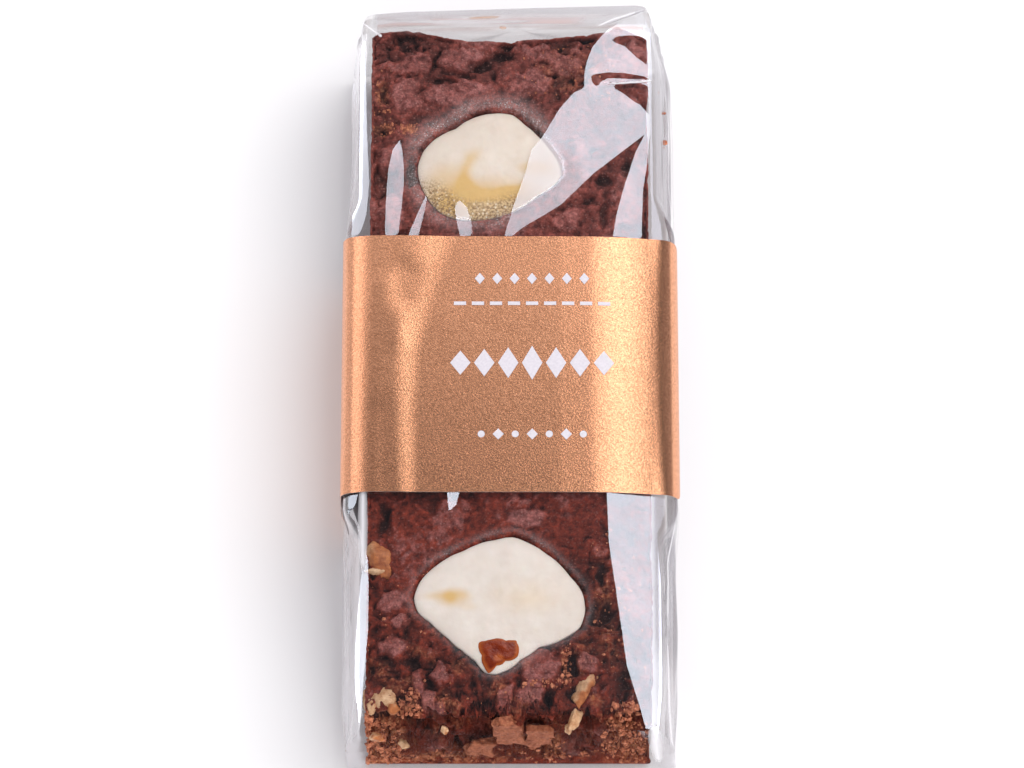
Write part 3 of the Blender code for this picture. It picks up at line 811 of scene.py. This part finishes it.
# Facets that stay dark inside or beside them
DARK_FACETS = (
    (17.7, 59.5, 18.6, 60.3, 20.7, 60.6, 22.7, 60.5, 24.0, 59.7, 24.0, 54.5, 22.0, 56.1, 21.1, 57.1,
     20.2, 58.2, 18.9, 58.8),
    (14.1, 52.7, 17.1, 53.2, 19.8, 53.1, 22.0, 52.7, 24.2, 52.3, 24.4, 51.8, 21.4, 51.8, 19.0, 52.0,
     17.2, 52.0, 15.9, 51.4, 15.2, 50.4, 14.3, 51.2),
    (18.1, 50.8, 19.8, 51.2, 22.9, 51.1, 24.2, 50.6, 24.2, 45.2, 22.6, 47.0, 21.3, 47.8, 19.8, 49.1,
     18.2, 50.1))


def row_corners(y):
    """The film's outline across the pack at one place: x, z and rounding of each corner."""
    y = min(max(y, STATION_Y[0]), STATION_Y[-1])
    k = min(int(np.searchsorted(STATION_Y, y, side="right")), len(STATION_Y) - 1)
    t = float(smooth((y - STATION_Y[k - 1]) / (STATION_Y[k] - STATION_Y[k - 1])))

    def at_row(values):
        one, other = np.array(values[k - 1], dtype=float), np.array(values[k], dtype=float)
        return one + (other - one) * t

    top, edge_round, hollow = at_row(TOP_Z), at_row(EDGE_ROUND), at_row(BASE_HOLLOW)
    left_edge, right_edge = at_row(LEFT_EDGE_X), at_row(RIGHT_EDGE_X)
    shoulder = min(np.interp(y, RIGHT_SHOULDER_Y, RIGHT_SHOULDER_X), right_edge - 0.8)
    shoulder -= 2.6 * float(smooth((y + 25.5) / 3) * smooth((23.2 - y) / 3))
    return ((left_edge, at_row(LEFT_EDGE_Z), edge_round), (at_row(LEFT_SHOULDER_X), top, 2.5),
            (shoulder, top, 0.5), (right_edge, at_row(RIGHT_EDGE_Z), edge_round),
            (*at_row(RIGHT_GUSSET), 0.35), (at_row(RIGHT_BASE), 0.0, 0.9), (-10.0, 0.0, 0.3),
            (-11.0, hollow, 0.3), (at_row(LEFT_BASE), hollow, 0.9), (*at_row(LEFT_GUSSET), 0.35))


def rounded_outline(corners, runs, corner_points):
    """A closed outline through corners that are rounded by short curves."""
    spots = np.array([corner[:2] for corner in corners])
    ahead, behind = np.roll(spots, -1, axis=0) - spots, np.roll(spots, 1, axis=0) - spots
    ahead_length = np.maximum(np.linalg.norm(ahead, axis=1), 1e-6)
    behind_length = np.maximum(np.linalg.norm(behind, axis=1), 1e-6)
    reach = np.minimum([corner[2] for corner in corners], 0.45 * np.minimum(ahead_length, behind_length))
    starts = spots + behind / behind_length[:, None] * reach[:, None]
    ends = spots + ahead / ahead_length[:, None] * reach[:, None]
    line = []
    for i, run in enumerate(runs):
        for t in np.linspace(0, 1, corner_points):
            line.append(starts[i] * (1 - t) ** 2 + spots[i] * 2 * t * (1 - t) + ends[i] * t * t)
        following = starts[(i + 1) % len(runs)]
        for k in range(run):
            line.append(ends[i] + (following - ends[i]) * (k + 1) / (run + 1))
    return np.array(line)


def end_wall(ring, outward):
    """Smaller and smaller copies of the last row, which close an end with its folds."""
    middle = ring.mean(axis=0)
    half = np.abs(ring - middle).max(axis=0)
    side = np.abs(ring[:, 0] - middle[0]) / half[0] - np.abs(ring[:, 2] - middle[2]) / half[2]
    walls = []
    for size in END_SIZES:
        stand = np.interp(1 - size, (0, 0.012, 0.045, 0.28, 0.6, 1), (0, 0.5, 0.8, 0.7, 0.45, 0.45))
        tuck = 0.5 * smooth(0.35 + side * 1.1) * smooth((1 - size) * 5)
        wall = middle + (ring - middle) * size
        wall[:, 1] += outward * (stand - tuck * (size > 0))
        walls.append(wall)
    return walls


rows = []
stops = np.array((NEAR_Y + 0.8, HIDDEN_FROM, HIDDEN_TO, FAR_Y - 0.8))
cuts = np.cumsum(np.concatenate([[0], np.diff(stops) * (1, 0.25, 1)]))
for y in np.interp(np.linspace(0, 1, FILM_ROWS), cuts / cuts[-1], stops):
    line = rounded_outline(row_corners(y), RUNS, CORNER_POINTS)
    near = float(smooth(1 - (y - NEAR_Y) / LEAN_LENGTH)) * NEAR_LEAN
    far = float(smooth(1 - (FAR_Y - y) / LEAN_LENGTH))
    height = line[:, 1] / WALL_HEIGHT
    lean = near * height + far * (FAR_LEAN * (1 - height) + FAR_SKEW * line[:, 0])
    rows.append(np.stack([line[:, 0], y + lean, line[:, 1]], axis=1))
rows = end_wall(rows[0], -1)[::-1] + rows + end_wall(rows[-1], 1)
columns = len(rows[0])
bpy.ops.mesh.primitive_grid_add(x_subdivisions=columns, y_subdivisions=len(rows) - 1, size=2.0)
film = bpy.context.object
flat = points_of(film)
column = np.rint((flat[:, 0] + 1) / 2 * columns).astype(int) % columns
row = np.rint((flat[:, 1] + 1) / 2 * (len(rows) - 1)).astype(int)
at = np.array(rows)[row, column]
x, y, z = at.T
z += smooth((z - 20) / 4) * (0.030 * noise_at(at, 9.0, 61) + 0.012 * noise_at(at, 3.5, 62))
side_wall = smooth((21 - z) / 4) * smooth((z - 1) / 4) * (np.abs(x) > 24)
crease = noise_at(at * (1, 0.16, 1), 2.2, 63) * 0.32 + noise_at(at * (1, 0.3, 1.6), 4.0, 64) * 0.25
x -= np.sign(x) * side_wall * (0.25 + crease)
place_points(film, at)
with editing(film):
    bpy.ops.mesh.remove_doubles(threshold=0.000002)
    bpy.ops.mesh.normals_make_consistent(inside=False)

at = points_of(film) / MM
x, y, z = at.T
upper, above_floor = (z > 22.0).astype(float), z > 0.3
reached = (upper > 0) | ((z > 18) & (y < -63) & (x > 0))
bright = np.max([np.where(reached, depth_inside(x, y, facet), -2.0) for facet in BRIGHT_FACETS], axis=0)
dark = np.max([np.where(upper > 0, depth_inside(x, y, facet), -2.0) for facet in DARK_FACETS], axis=0)
patchy = 0.75 + 0.5 * noise_at(at, 5.0, 69)
cling = np.zeros(len(at))
for sweet, width, strength in ((FAR_MARSHMALLOW, 1.7, 1.0), (NEAR_MARSHMALLOW, 0.8, 0.5)):
    outside = -depth_inside(x, y, sweet)
    ring = np.exp(-((outside - width * 0.75) / width) ** 2) * (outside > -0.6)
    cling = np.maximum(cling, patchy * strength * ring * upper)

# It lies close on the near cut end and on the sweets, where it hardly shows, and it shines
# less where only the floor is behind it. Along the sides, and at the far strip, it stands off in
# folds, which look light on the left; on the right wall and the far strip its mirror colour is
# painted grey, as painted shade of the narrow gaps between the bar and the film.
clinging_end = smooth((-61.8 - y) / 2.5) * (np.abs(x) < 25.2) * above_floor * (bright < -0.3)
past_bar = smooth((y - np.interp(x, BAR_FAR_X, BAR_FAR_Y) + 0.2) / 0.8) * upper
shine = (1 - 0.97 * clinging_end) * (1 - 0.80 * past_bar)
shine *= 1 - 0.25 * upper * smooth((42 - y) / 9) * smooth((14 - x) / 4) * smooth((y - 5) / 5)
shine *= 1 + 0.14 * upper * (y < 0)
shine *= 1 - 0.35 * upper * smooth((x - 24.4) / 0.6) * (y < 0)
right_side = smooth((x - 23.6) / 1.2) * above_floor
left_side = smooth((-24.2 - x) / 0.8) * above_floor
far_end = smooth((y - 61.2) / 2.0) * above_floor
pleats = 0.5 + 0.5 * noise_at(at * (1, 0.06, 0.9), 1.6, 66)
beside_label = left_side * smooth((y + 36) / 4) * (y < -20) * (x < -27.0)
veil = np.maximum(right_side * (0.55 + 0.45 * pleats), left_side * (0.50 + 0.5 * pleats) + beside_label)
veil = np.maximum(veil, far_end * 0.45) * (1 - clinging_end)
blush = smooth((y - 60.6) / 1.2) * smooth((65.4 - y) / 2.2) * (np.abs(x) < 23.5) * upper
blush *= smooth((noise_at(at * (0.05, 1, 1), 0.7, 67) + 0.30) / 0.5)
# Painted shade: the right wall and the far strip get a grey mirror colour, less towards the near end.
grey = np.maximum(right_side * (1 - 0.5 * smooth((-48 - y) / 8)), far_end)
keep_values(film, bright_inside=np.clip(bright, -2, 2), dark_inside=np.clip(dark, -2, 2),
            facet_tilt=0.16 + 0.02 * noise_at(at, 6.0, 65), cling=cling,
            shine=shine * (1 + 0.10 * noise_at(at, 3.0, 68)),
            on_sweet=smooth((in_sweets(x, y) + 0.9) / 0.7) * upper,
            flat_top=upper * smooth((24.9 - np.abs(x)) / 0.4) * smooth((63.0 - y) / 0.8),
            veil=np.clip(veil, 0, 1), grey=np.clip(grey, 0, 1), blush=blush,
            dull=smooth((y - 62.0) / 1.2) * smooth((24.4 - np.abs(x)) / 0.8) * upper)

film_finish, shader, grain, value_of = new_material(
    "clear_film", 300.0, 3600.0, Roughness=0.07, Metallic=1.0)
tree = film_finish.node_tree
# A bright facet has one normal all over, which leans sideways, and a flat or dark place a level one
surface = add_node(tree, "NewGeometry").outputs
side = less(1.0, times(surface["Backfacing"], 2.0))
in_dark = ramp(value_of("dark_inside"), -0.05, 0.05)
in_bright = less(ramp(value_of("bright_inside"), -0.05, 0.05), in_dark, clamp=True)
facet_normal = add_node(tree, "CombineXYZ", X=times(times(value_of("facet_tilt"), in_bright), side), Z=side)
chosen = add_node(tree, "Mix", data_type="VECTOR")
set_node(chosen, Factor=most(in_bright, most(in_dark, value_of("flat_top"))))
set_socket(chosen.inputs[4], surface["Normal"])
set_socket(chosen.inputs[5], facet_normal.outputs["Vector"])
even = add_node(tree, "VectorMath", operation="NORMALIZE")
set_socket(even.inputs[0], chosen.outputs[1])
ripple = add_node(tree, "Bump", Strength=0.02, Distance=0.0002, Height=grain["Clumps"],
                  Normal=even.outputs[0])
# How much of the film shows: what it mirrors, more at a flat angle and in the side folds, then
# the bubbles where it clings, the painted highlight where a bright facet crosses a sweet, and the dull and
# reddish places at the far end
facing = add_node(tree, "LayerWeight", Blend=0.5).outputs["Facing"]
blush, dull = value_of("blush"), value_of("dull")
mirror = plus(less(0.14, times(value_of("on_sweet"), 0.133)), times(to_power(facing, 4.0), 0.75))
mirror = plus(mirror, times(times(value_of("veil"), ramp(facing, 0.40, 0.70)), 0.40))
mirror = times(mirror, value_of("shine"))
# Where a bright facet crosses a marshmallow, its mirror gives way to a pale matt haze: a painted highlight.
painted_band_on_sweet = times(value_of("on_sweet"), in_bright)
bubbles = most(ramp(grain["Specks"], 0.10, 0.60), times(ramp(grain["Grains"], 0.50, 0.85), 0.7))
cling = times(value_of("cling"), less(1.0, in_bright, clamp=True))
haze = plus(times(times(cling, bubbles), 0.44), times(painted_band_on_sweet, 0.42))
haze = plus(plus(haze, times(blush, 0.33)), times(dull, 0.30))
matt = most(most(most(cling, times(blush, 0.7)), painted_band_on_sweet), dull)
# Painted shade: the mirror colour goes grey on the right wall and the far strip.
tone = mix(value_of("grey"), (0.93, 0.92, 0.95), (0.40, 0.385, 0.42))
tone = mix(painted_band_on_sweet, mix(cling, tone, (0.80, 0.66, 0.64)), (0.86, 0.82, 0.84))
set_node(shader, Base_Color=mix(blush, tone, (0.50, 0.34, 0.32)), Normal=ripple.outputs["Normal"],
         Alpha=plus(mirror, haze, clamp=True), Metallic=less(1.0, matt, clamp=True))
finish_piece(film, "film_bag", film_finish, angle=50.0)
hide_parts("bag")


# Film folds. Narrow welded folds, creases and smears on the film's side walls and corners,
# which look like thin white, grey or brown lines: each is a thin strip that tapers to its ends.
# The white lines are painted highlights of the folds and creases, the grey ones painted shade,
# and the brown ones smears on the film.
FOLD_CLEARANCE, FOLD_STEP = 0.10, 0.012

# Each row is its side (1 right, -1 left, 0 on top or on the near end), brightness (low for grey
# painted shade, 1 for a white painted highlight, 2 for a brown smear), opacity, half width, and
# places: y and share of the way down a side wall, x and y on top, or x, y and z.
FOLD_LIGHT_SHADE_AND_SMEARS = (
    (0, 1.0, 0.95, 1.25, ((23.9, -65.35, 26.0), (24.3, -65.85, 21.0), (24.8, -66.25, 14.0), (25.4, -66.62, 6.0))),
    (1, 0.25, 0.36, 4.2, ((-22.0, 0.56), (-34.0, 0.54), (-49.0, 0.5))),
    (1, 1.0, 0.8, 0.5, ((-24.8, 0.47), (-34.0, 0.46), (-42.0, 0.44), (-46.8, 0.42))),
    (1, 1.0, 0.55, 1.1, ((-47.4, 0.38), (-54.0, 0.44), (-60.0, 0.5), (-64.6, 0.64), (-66.2, 0.8))),
    (1, 0.3, 0.5, 1.2, ((-24.8, 0.62), (-36.0, 0.6), (-47.6, 0.55))),
    (1, 0.3, 0.3, 0.8, ((-24.8, 0.3), (-36.0, 0.32), (-47.6, 0.3))),
    (1, 0.25, 0.32, 0.55, ((-25.0, 0.1), (-36.0, 0.17), (-47.0, 0.25), (-58.0, 0.18), (-63.2, 0.12))),
    (1, 0.3, 0.5, 0.35, ((-63.2, 0.1), (-65.0, 0.4), (-66.6, 0.85))),
    (1, 0.2, 0.45, 0.5, ((-46.2, 0.5), (-47.0, 0.47), (-47.8, 0.5))),
    (1, 0.3, 0.26, 0.6, ((63.0, 0.3), (52.0, 0.42), (41.0, 0.5), (30.0, 0.46), (23.4, 0.5))),
    (1, 1.0, 0.45, 0.5, ((61.0, 0.62), (48.0, 0.74), (36.0, 0.7), (23.4, 0.78))),
    (1, 0.25, 0.26, 0.5, ((58.0, 0.95), (46.0, 1.15), (30.0, 1.1), (23.4, 1.2))),
    (-1, 0.3, 0.26, 0.45, ((62.0, 0.12), (48.0, 0.14), (34.0, 0.12), (23.4, 0.14))),
    (-1, 1.0, 0.6, 1.2, ((62.6, 0.26), (50.0, 0.3), (36.0, 0.34), (23.4, 0.36))),
    (-1, 0.35, 0.24, 0.5, ((61.0, 0.5), (46.0, 0.56), (30.0, 0.66), (23.4, 0.7))),
    (-1, 1.0, 0.55, 0.45, ((-28.0, 0.66), (-36.0, 0.7), (-46.0, 0.66), (-52.0, 0.62))),
    (-1, 0.35, 0.24, 0.6, ((-28.0, 0.44), (-38.0, 0.5), (-50.0, 0.44), (-58.0, 0.36))),
    (-1, 1.0, 0.6, 0.7, ((-59.0, 0.2), (-62.0, 0.34), (-64.6, 0.52), (-66.0, 0.78))),
    (-1, 0.25, 0.35, 0.4, ((-60.0, 0.5), (-63.6, 0.62), (-66.4, 0.9))),
    (-1, 0.9, 0.95, 3.2, ((-23.0, 0.3), (-26.6, 0.42), (-29.6, 0.62))),
    (0, 0.7, 0.95, 0.85, ((-25.0, -20.5), (-25.0, -27.0), (-24.95, -33.0), (-24.8, -39.0))),
    (0, 1.0, 0.85, 0.22, ((-26.2, 63.6), (-24.8, 62.4), (-23.0, 60.8))),
    (0, 1.0, 0.85, 0.32, ((-23.2, 61.0), (-22.9, 60.7), (-22.6, 60.4))),
    (0, 1.0, 0.7, 0.35, ((14.8, 62.2), (18.0, 63.8), (21.4, 65.0), (24.2, 66.3))),
    (0, 0.2, 0.5, 0.14, ((16.6, 62.6), (19.6, 64.0), (22.4, 65.1), (24.0, 65.9))),
    (0, 1.0, 0.7, 0.24, ((25.0, 52.0), (23.6, 51.4), (20.0, 51.1), (16.4, 51.0))),
    (0, 2.0, 0.55, 0.36, ((-7.6, 64.1), (-4.5, 64.2), (-1.6, 64.4))),
    (0, 2.0, 0.6, 0.42, ((-2.0, 62.2), (-1.3, 62.1), (-0.6, 62.1))))


def wall_place(side, y, down):
    """A place on the film's side wall: 0 at the top edge, 1 at the fold half way, 2 at the base."""
    corners = row_corners(y)
    edge, fold, base = [corners[i] for i in ((3, 4, 5) if side > 0 else (0, 9, 8))]
    start, end, t = (edge, fold, down) if down <= 1 else (fold, base, down - 1)
    return (start[0] + (end[0] - start[0]) * t, y, start[1] + (end[1] - start[1]) * t)


def top_place(x, y):
    """A place just over the film's top."""
    corners = row_corners(y)[:4]
    return (x, y, float(np.interp(x, [c[0] for c in corners], [c[1] for c in corners])) + 0.15)


strips = []
for side, brightness, opacity, half_width, places in FOLD_LIGHT_SHADE_AND_SMEARS:
    bpy.ops.mesh.primitive_grid_add(x_subdivisions=28, y_subdivisions=2, size=2.0)
    strip = bpy.context.object
    flat = points_of(strip)
    t, across = (flat[:, 0] + 1) / 2, flat[:, 1]
    path = np.array([p if len(p) == 3 else wall_place(side, *p) if side else top_place(*p) for p in places])
    at = np.stack([np.interp(t, np.linspace(0, 1, len(path)), path[:, i]) for i in range(3)], axis=1)
    taper = np.sqrt(np.clip(np.sin(np.pi * np.clip(t, 0.02, 0.98)), 0, 1))
    wave = 0.12 * noise_at(np.stack([t * 9, 0 * t, 0 * t], axis=1), 1.0, len(strips))
    if side:
        sideways = np.array(wall_place(side, places[1][0], 0.9)) - wall_place(side, places[1][0], 0.1)
        at[:, 0] += side * (FOLD_CLEARANCE + FOLD_STEP * len(strips))
    elif len(places[0]) == 2:
        sideways = np.array((path[0, 1] - path[-1, 1], path[-1, 0] - path[0, 0], 0))
    else:
        sideways = np.array((1.0, 0, 0))
    sideways /= np.linalg.norm(sideways)
    at += wave[:, None] * (0.3, 0.3, 1.0) + (across * taper * half_width)[:, None] * sideways
    place_points(strip, at)
    edge_fade = (1 - 0.75 * np.abs(across)) * smooth(np.minimum(t, 1 - t) / 0.12)
    keep_values(strip, bright=np.full(len(at), brightness), opacity=opacity * edge_fade)
    strips.append(strip)
folds = join(strips)
fold_light_and_smear_finish, shader, grain, value_of = new_material("fold_highlights_shade_and_smears", Roughness=0.25, Specular_IOR_Level=0.5)
# Painted light: a low brightness gives grey painted shade and 1 a white painted highlight; 2 gives a brown smear.
colour = mix(value_of("bright"), (0.16, 0.15, 0.18), (0.95, 0.94, 0.97))
colour = mix(ramp(value_of("bright"), 1.4, 1.9), colour, (0.60, 0.34, 0.19))
set_node(shader, Base_Color=colour, Alpha=value_of("opacity"))
finish_piece(folds, "fold_highlights_shade_and_smears", fold_light_and_smear_finish)


# Label. Copper-coloured metallic paper, glued round the pack's middle: it starts on the right
# side, runs over the top and down the left side, and ends under the base. Its left top is
# dented where the film under it has creased.
LABEL_NEAR_Y, LABEL_FAR_Y = -24.5, 22.1
LABEL_GAP, LABEL_THICKNESS, LABEL_CORNER = 0.28, 0.14, 1.3
LABEL_START_Z, LABEL_TAIL_X = 21.2, -12.0
LABEL_COLUMNS, LABEL_ROWS = 260, 130
LABEL_RISE = 0.12
# Creases in its left top: a line of places, width, height
LABEL_CREASES = (
    (((-21.6, 13.0), (-20.4, 8.0), (-19.4, 3.0)), 2.0, 0.06),
    (((-22.3, -10.0), (-22.0, -18.0), (-21.3, -24.5)), 2.0, -0.05),
    (((-17.8, 15.0), (-18.6, 11.0)), 2.4, -0.14))
# The step beside the dent: places from near to far, how wide and how high there
LABEL_STEP_Y = (-24.5, -10.0, 0.0, 10.0, 22.5)
LABEL_STEP = ((-17.5, -17.8, -17.7, -16.0, -13.2), (2.0, 2.2, 2.6, 3.4, 4.6),
              (0.23, 0.25, 0.31, 0.41, 0.48))

corners = list(row_corners(0.0))
corners[:3] = (-28.6, 24.7, 3.2), (-24.4, 26.0, 2.0), (14.0, 26.0, 0.3)
line = rounded_outline(corners, (6, 6, 24, 2, 2, 6, 0, 3, 2, 2), 9)
along = np.roll(line, -1, axis=0) - np.roll(line, 1, axis=0)
along /= np.linalg.norm(along, axis=1)[:, None]
line = line + np.stack([-along[:, 1], along[:, 0]], axis=1) * LABEL_GAP
first = max(i for i, p in enumerate(line) if p[0] > 0 and p[1] > LABEL_START_Z)
path = np.roll(line[::-1], first + 2, axis=0)
path[0] += (path[1] - path[0]) * (LABEL_START_Z - path[0][1]) / (path[1][1] - path[0][1])
tail = next(i for i, p in enumerate(path) if p[1] < 0.65 and p[0] > LABEL_TAIL_X)
path = path[:tail + 1]
path[-1, 0] = LABEL_TAIL_X
before, over = np.clip(path[:, 0] - 10.0, 0, 4.0), np.clip(path[:, 0] - 14.0, 0, 14.8)
bulge = -0.0062 * before ** 2 + 0.139 * over - 0.0075 * over ** 2
path[:, 1] += bulge * smooth((path[:, 1] - 22) / 1.5)
stops = np.concatenate([[0], np.cumsum(np.linalg.norm(np.diff(path, axis=0), axis=1))])
label_length = stops[-1]
bpy.ops.mesh.primitive_grid_add(x_subdivisions=LABEL_COLUMNS, y_subdivisions=LABEL_ROWS, size=2.0)
label = bpy.context.object


def label_point(distance, across):
    """A place on the label's inner face: distance along its path, 0 to 1 from near to far edge."""
    from_end = np.minimum(np.minimum(distance, label_length - distance), LABEL_CORNER)
    inset = LABEL_CORNER - np.sqrt(np.maximum(LABEL_CORNER ** 2 - (LABEL_CORNER - from_end) ** 2, 0))
    y = LABEL_NEAR_Y + inset + (LABEL_FAR_Y - LABEL_NEAR_Y - 2 * inset) * across
    x, z = (np.interp(distance, stops, row) for row in path.T)
    return np.stack([x, y, z], axis=1)


def label_dents(x, y):
    """Height of the creases at a place on the label's top."""
    height = np.zeros(len(x))
    for places, width, rise in LABEL_CREASES:
        away = np.min([line_distance(x, y, *ends) for ends in zip(places, places[1:])], axis=0)
        height += rise * np.exp(-(away / width) ** 2)
    step_x, step_width, step_rise = (np.interp(y, LABEL_STEP_Y, row) for row in LABEL_STEP)
    height += step_rise * (1 - smooth(0.5 + (x - step_x) / (2 * step_width)))
    return height - 0.30 * (y / 23.0) ** 2


end_columns = np.array((0.3, 0.6, 1.0, 1.4)) * 0.3 / label_length
spread = np.sort(np.concatenate([np.linspace(0, 1, LABEL_COLUMNS - 7), end_columns, 1 - end_columns]))
flat = (points_of(label) + 1) / 2
column = np.rint(flat[:, 0] * LABEL_COLUMNS).astype(int)
at = label_point(spread[column] * label_length, flat[:, 1])
over_top = smooth((at[:, 2] - 24.0) / 1.0)
at[:, 2] += over_top * (label_dents(at[:, 0], at[:, 1]) + LABEL_RISE + 0.02 * noise_at(at, 9.0, 71))
place_points(label, at)
with editing(label):
    bpy.ops.mesh.flip_normals()


def thicken(piece, thickness):
    """Give a sheet its thickness, outwards."""
    solid = piece.modifiers.new("thickness", "SOLIDIFY")
    solid.thickness = thickness * MM
    solid.offset = 1.0
    bpy.ops.object.modifier_apply(modifier="thickness")


thicken(label, LABEL_THICKNESS)
keep_values(label, paper_side=np.arange(len(label.data.vertices)) >= len(at))

label_finish, shader, grain, value_of = new_material("copper_paper", 700.0, 3300.0)
paper_side = value_of("paper_side")
colour = mix(grain["Grains"], (0.61, 0.272, 0.146), (1.0, 0.50, 0.295))
set_node(shader, Base_Color=mix(paper_side, colour, (0.86, 0.84, 0.83)), Metallic=less(1.0, paper_side),
         Roughness=plus(0.27, times(paper_side, 0.3)), Normal=bump(grain["Grains"], 0.9, 0.000011))
finish_piece(label, "label_band", label_finish, angle=50.0)
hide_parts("label")


# Print. White ink on the label, as plain rules, lozenges and dots: it is raised a hair
# over the paper. Each shape is its kind, x, y and half sizes.
PRINT_MIDDLE, INK_THICKNESS = 3.75, 0.03
PRINT_SHAPES = []
for k in range(-3, 4):
    PRINT_SHAPES.append(("lozenge", k * 3.0, 14.2, 0.85, 1.05))
    PRINT_SHAPES.append(("lozenge", k * 4.1, -1.3, 1.75, 3.1 - 0.3 * abs(k)))
    mark = ("dot", k * 2.9, -14.2, 0.6, 0.6) if k % 2 else ("lozenge", k * 2.9, -14.2, 0.95, 1.0)
    PRINT_SHAPES.append(mark)
for k in range(-4, 5):
    PRINT_SHAPES.append(("bar", k * 3.1, 9.6, 1.05, 0.32))

order = np.argsort(path[:, 0])
over = path[order][path[order][:, 1] > 20]
marks = []
for kind, x, y, half_x, half_y in PRINT_SHAPES:
    if kind == "bar":
        bpy.ops.mesh.primitive_grid_add(x_subdivisions=8, y_subdivisions=1, size=2.0)
    else:
        sides = 4 if kind == "lozenge" else 32
        bpy.ops.mesh.primitive_circle_add(vertices=sides, radius=1.0, fill_type="TRIFAN")
    mark = bpy.context.object
    if kind == "lozenge":
        with editing(mark):
            bpy.ops.mesh.subdivide(number_cuts=5)
    at = points_of(mark) * (half_x, half_y, 0) + (PRINT_MIDDLE + x, y, 0)
    rise = label_dents(at[:, 0], at[:, 1]) + LABEL_RISE + 0.02 * noise_at(at + (0, 0, 26.2), 9.0, 71)
    at[:, 2] = np.interp(at[:, 0], over[:, 0], over[:, 1]) + LABEL_THICKNESS + rise + INK_THICKNESS
    place_points(mark, at)
    marks.append(mark)
marks = join(marks)
thicken(marks, INK_THICKNESS)
print_finish, shader, grain, value_of = new_material(
    "white_ink", 700.0, 2400.0, Roughness=0.45, Specular_IOR_Level=0.4)
colour = mix(grain["Grains"], (0.60, 0.565, 0.62), (0.70, 0.665, 0.71))
set_node(shader, Base_Color=colour, Normal=bump(grain["Height"], 0.25, 0.0001))
finish_piece(marks, "label_print", print_finish)


# Studio. A white sweep of card under the pack, one large softbox above its right that throws
# the soft shadow to the left, a weaker card at the left, and the camera over the near end.
bpy.ops.mesh.primitive_plane_add(size=6.0, location=(0, 0, -0.0003))
floor = bpy.context.object
floor.name = "floor"
floor.data.materials.append(new_material(
    "white_card", Base_Color=(0.92, 0.92, 0.925), Roughness=0.9, Specular_IOR_Level=0.1)[0])


def add_softbox(name, place, size, radiance, colour, only=None, aimed=False, soft=False):
    """A rectangular light, aimed at the pack or level: soft light or else reflections, on some pieces."""
    data = bpy.data.lights.new(name, "AREA")
    data.shape = "RECTANGLE"
    data.size, data.size_y = size
    data.energy = radiance * math.pi * size[0] * size[1]
    data.color = colour
    made = bpy.data.objects.new(name, data)
    bpy.context.scene.collection.objects.link(made)
    made.location = place
    if aimed:
        made.rotation_euler = (-made.location).to_track_quat("-Z", "Y").to_euler()
    made.visible_camera = False
    made.visible_glossy, made.visible_diffuse = not soft, soft
    if only:
        lit = bpy.data.collections.new(name + "_lights")
        for piece in only:
            lit.objects.link(piece)
        made.light_linking.receiver_collection = lit


foil = [label, marks]
food = [bar, far_sweet, near_sweet, chip, nuts, crumbs]
add_softbox("key", (0.75, 0.48, 1.08), (1.30, 1.18), 3.1, (1.0, 0.985, 0.98), soft=True)
add_softbox("film_softbox", (0.70, 0.45, 1.0), (1.22, 1.10), 4.7, (0.87, 0.935, 1.02), [film])
add_softbox("front", (0.35, -0.95, 0.55), (0.9, 0.7), 1.7, (1.0, 0.98, 0.97), aimed=True, soft=True)
add_softbox("label_overhead", (-0.1, 0.10, 1.0), (1.0, 1.2), 0.07, (1.0, 0.94, 0.94), foil)
add_softbox("label_far", (-0.1, 0.79, 0.96), (1.0, 0.8), 0.70, (1.0, 0.96, 0.96), foil)
add_softbox("label_right", (0.258, 0.34, 0.86), (0.165, 1.1), 3.7, (1.0, 1.0, 0.98), foil)
add_softbox("label_left", (-0.58, 0.33, 0.80), (0.30, 1.1), 1.8, (1.0, 0.94, 0.93), foil)
add_softbox("food_shine", (0.30, 0.62, 1.0), (0.5, 0.5), 8.0, (1.0, 0.97, 0.99), food, aimed=True)
add_softbox("film_left", (-0.9, 0.30, 0.3), (0.9, 0.7), 2.3, (1.0, 0.97, 0.98), [film], aimed=True)

world = bpy.data.worlds.new("studio")
bpy.context.scene.world = world
world.use_nodes = True
tree = world.node_tree
tree.nodes.clear()
split = add_node(tree, "SeparateXYZ", Vector=add_node(tree, "TexCoord").outputs["Generated"]).outputs
level = mix(ramp(split["X"], -0.6, 0.6), (0.85, 0.84, 0.88), (0.34, 0.33, 0.36))
level = mix(ramp(split["Y"], 0.4, 0.9), level, (0.85, 0.84, 0.88))
level = mix(ramp(split["Y"], -0.3, -0.8), level, (0.40, 0.385, 0.41))
level = mix(ramp(split["Z"], 0.45, 0.85), level, (0.05, 0.048, 0.055))
rays = add_node(tree, "LightPath").outputs
colour = mix(rays["Is Glossy Ray"], (0.70, 0.69, 0.72), level)
colour = mix(rays["Is Camera Ray"], colour, (1.0, 1.0, 1.0))
light = add_node(tree, "Background", Strength=1.0, Color=colour)
add_node(tree, "OutputWorld", Surface=light.outputs[0])
bpy.context.scene.view_settings.view_transform = "Standard"

CAMERA_TILT, CAMERA_DISTANCE = math.radians(20.0), 0.850
CAMERA_TARGET = Vector((0.3, -2.8, 20.0)) * MM
camera_data = bpy.data.cameras.new("camera")
camera_data.lens = 173.4
camera_data.sensor_width = 36.0
camera = bpy.data.objects.new("camera", camera_data)
bpy.context.scene.collection.objects.link(camera)
back = Vector((0, -math.sin(CAMERA_TILT), math.cos(CAMERA_TILT)))
camera.location = CAMERA_TARGET + back * CAMERA_DISTANCE
camera.rotation_euler = (CAMERA_TILT, 0, 0)
bpy.context.scene.camera = camera
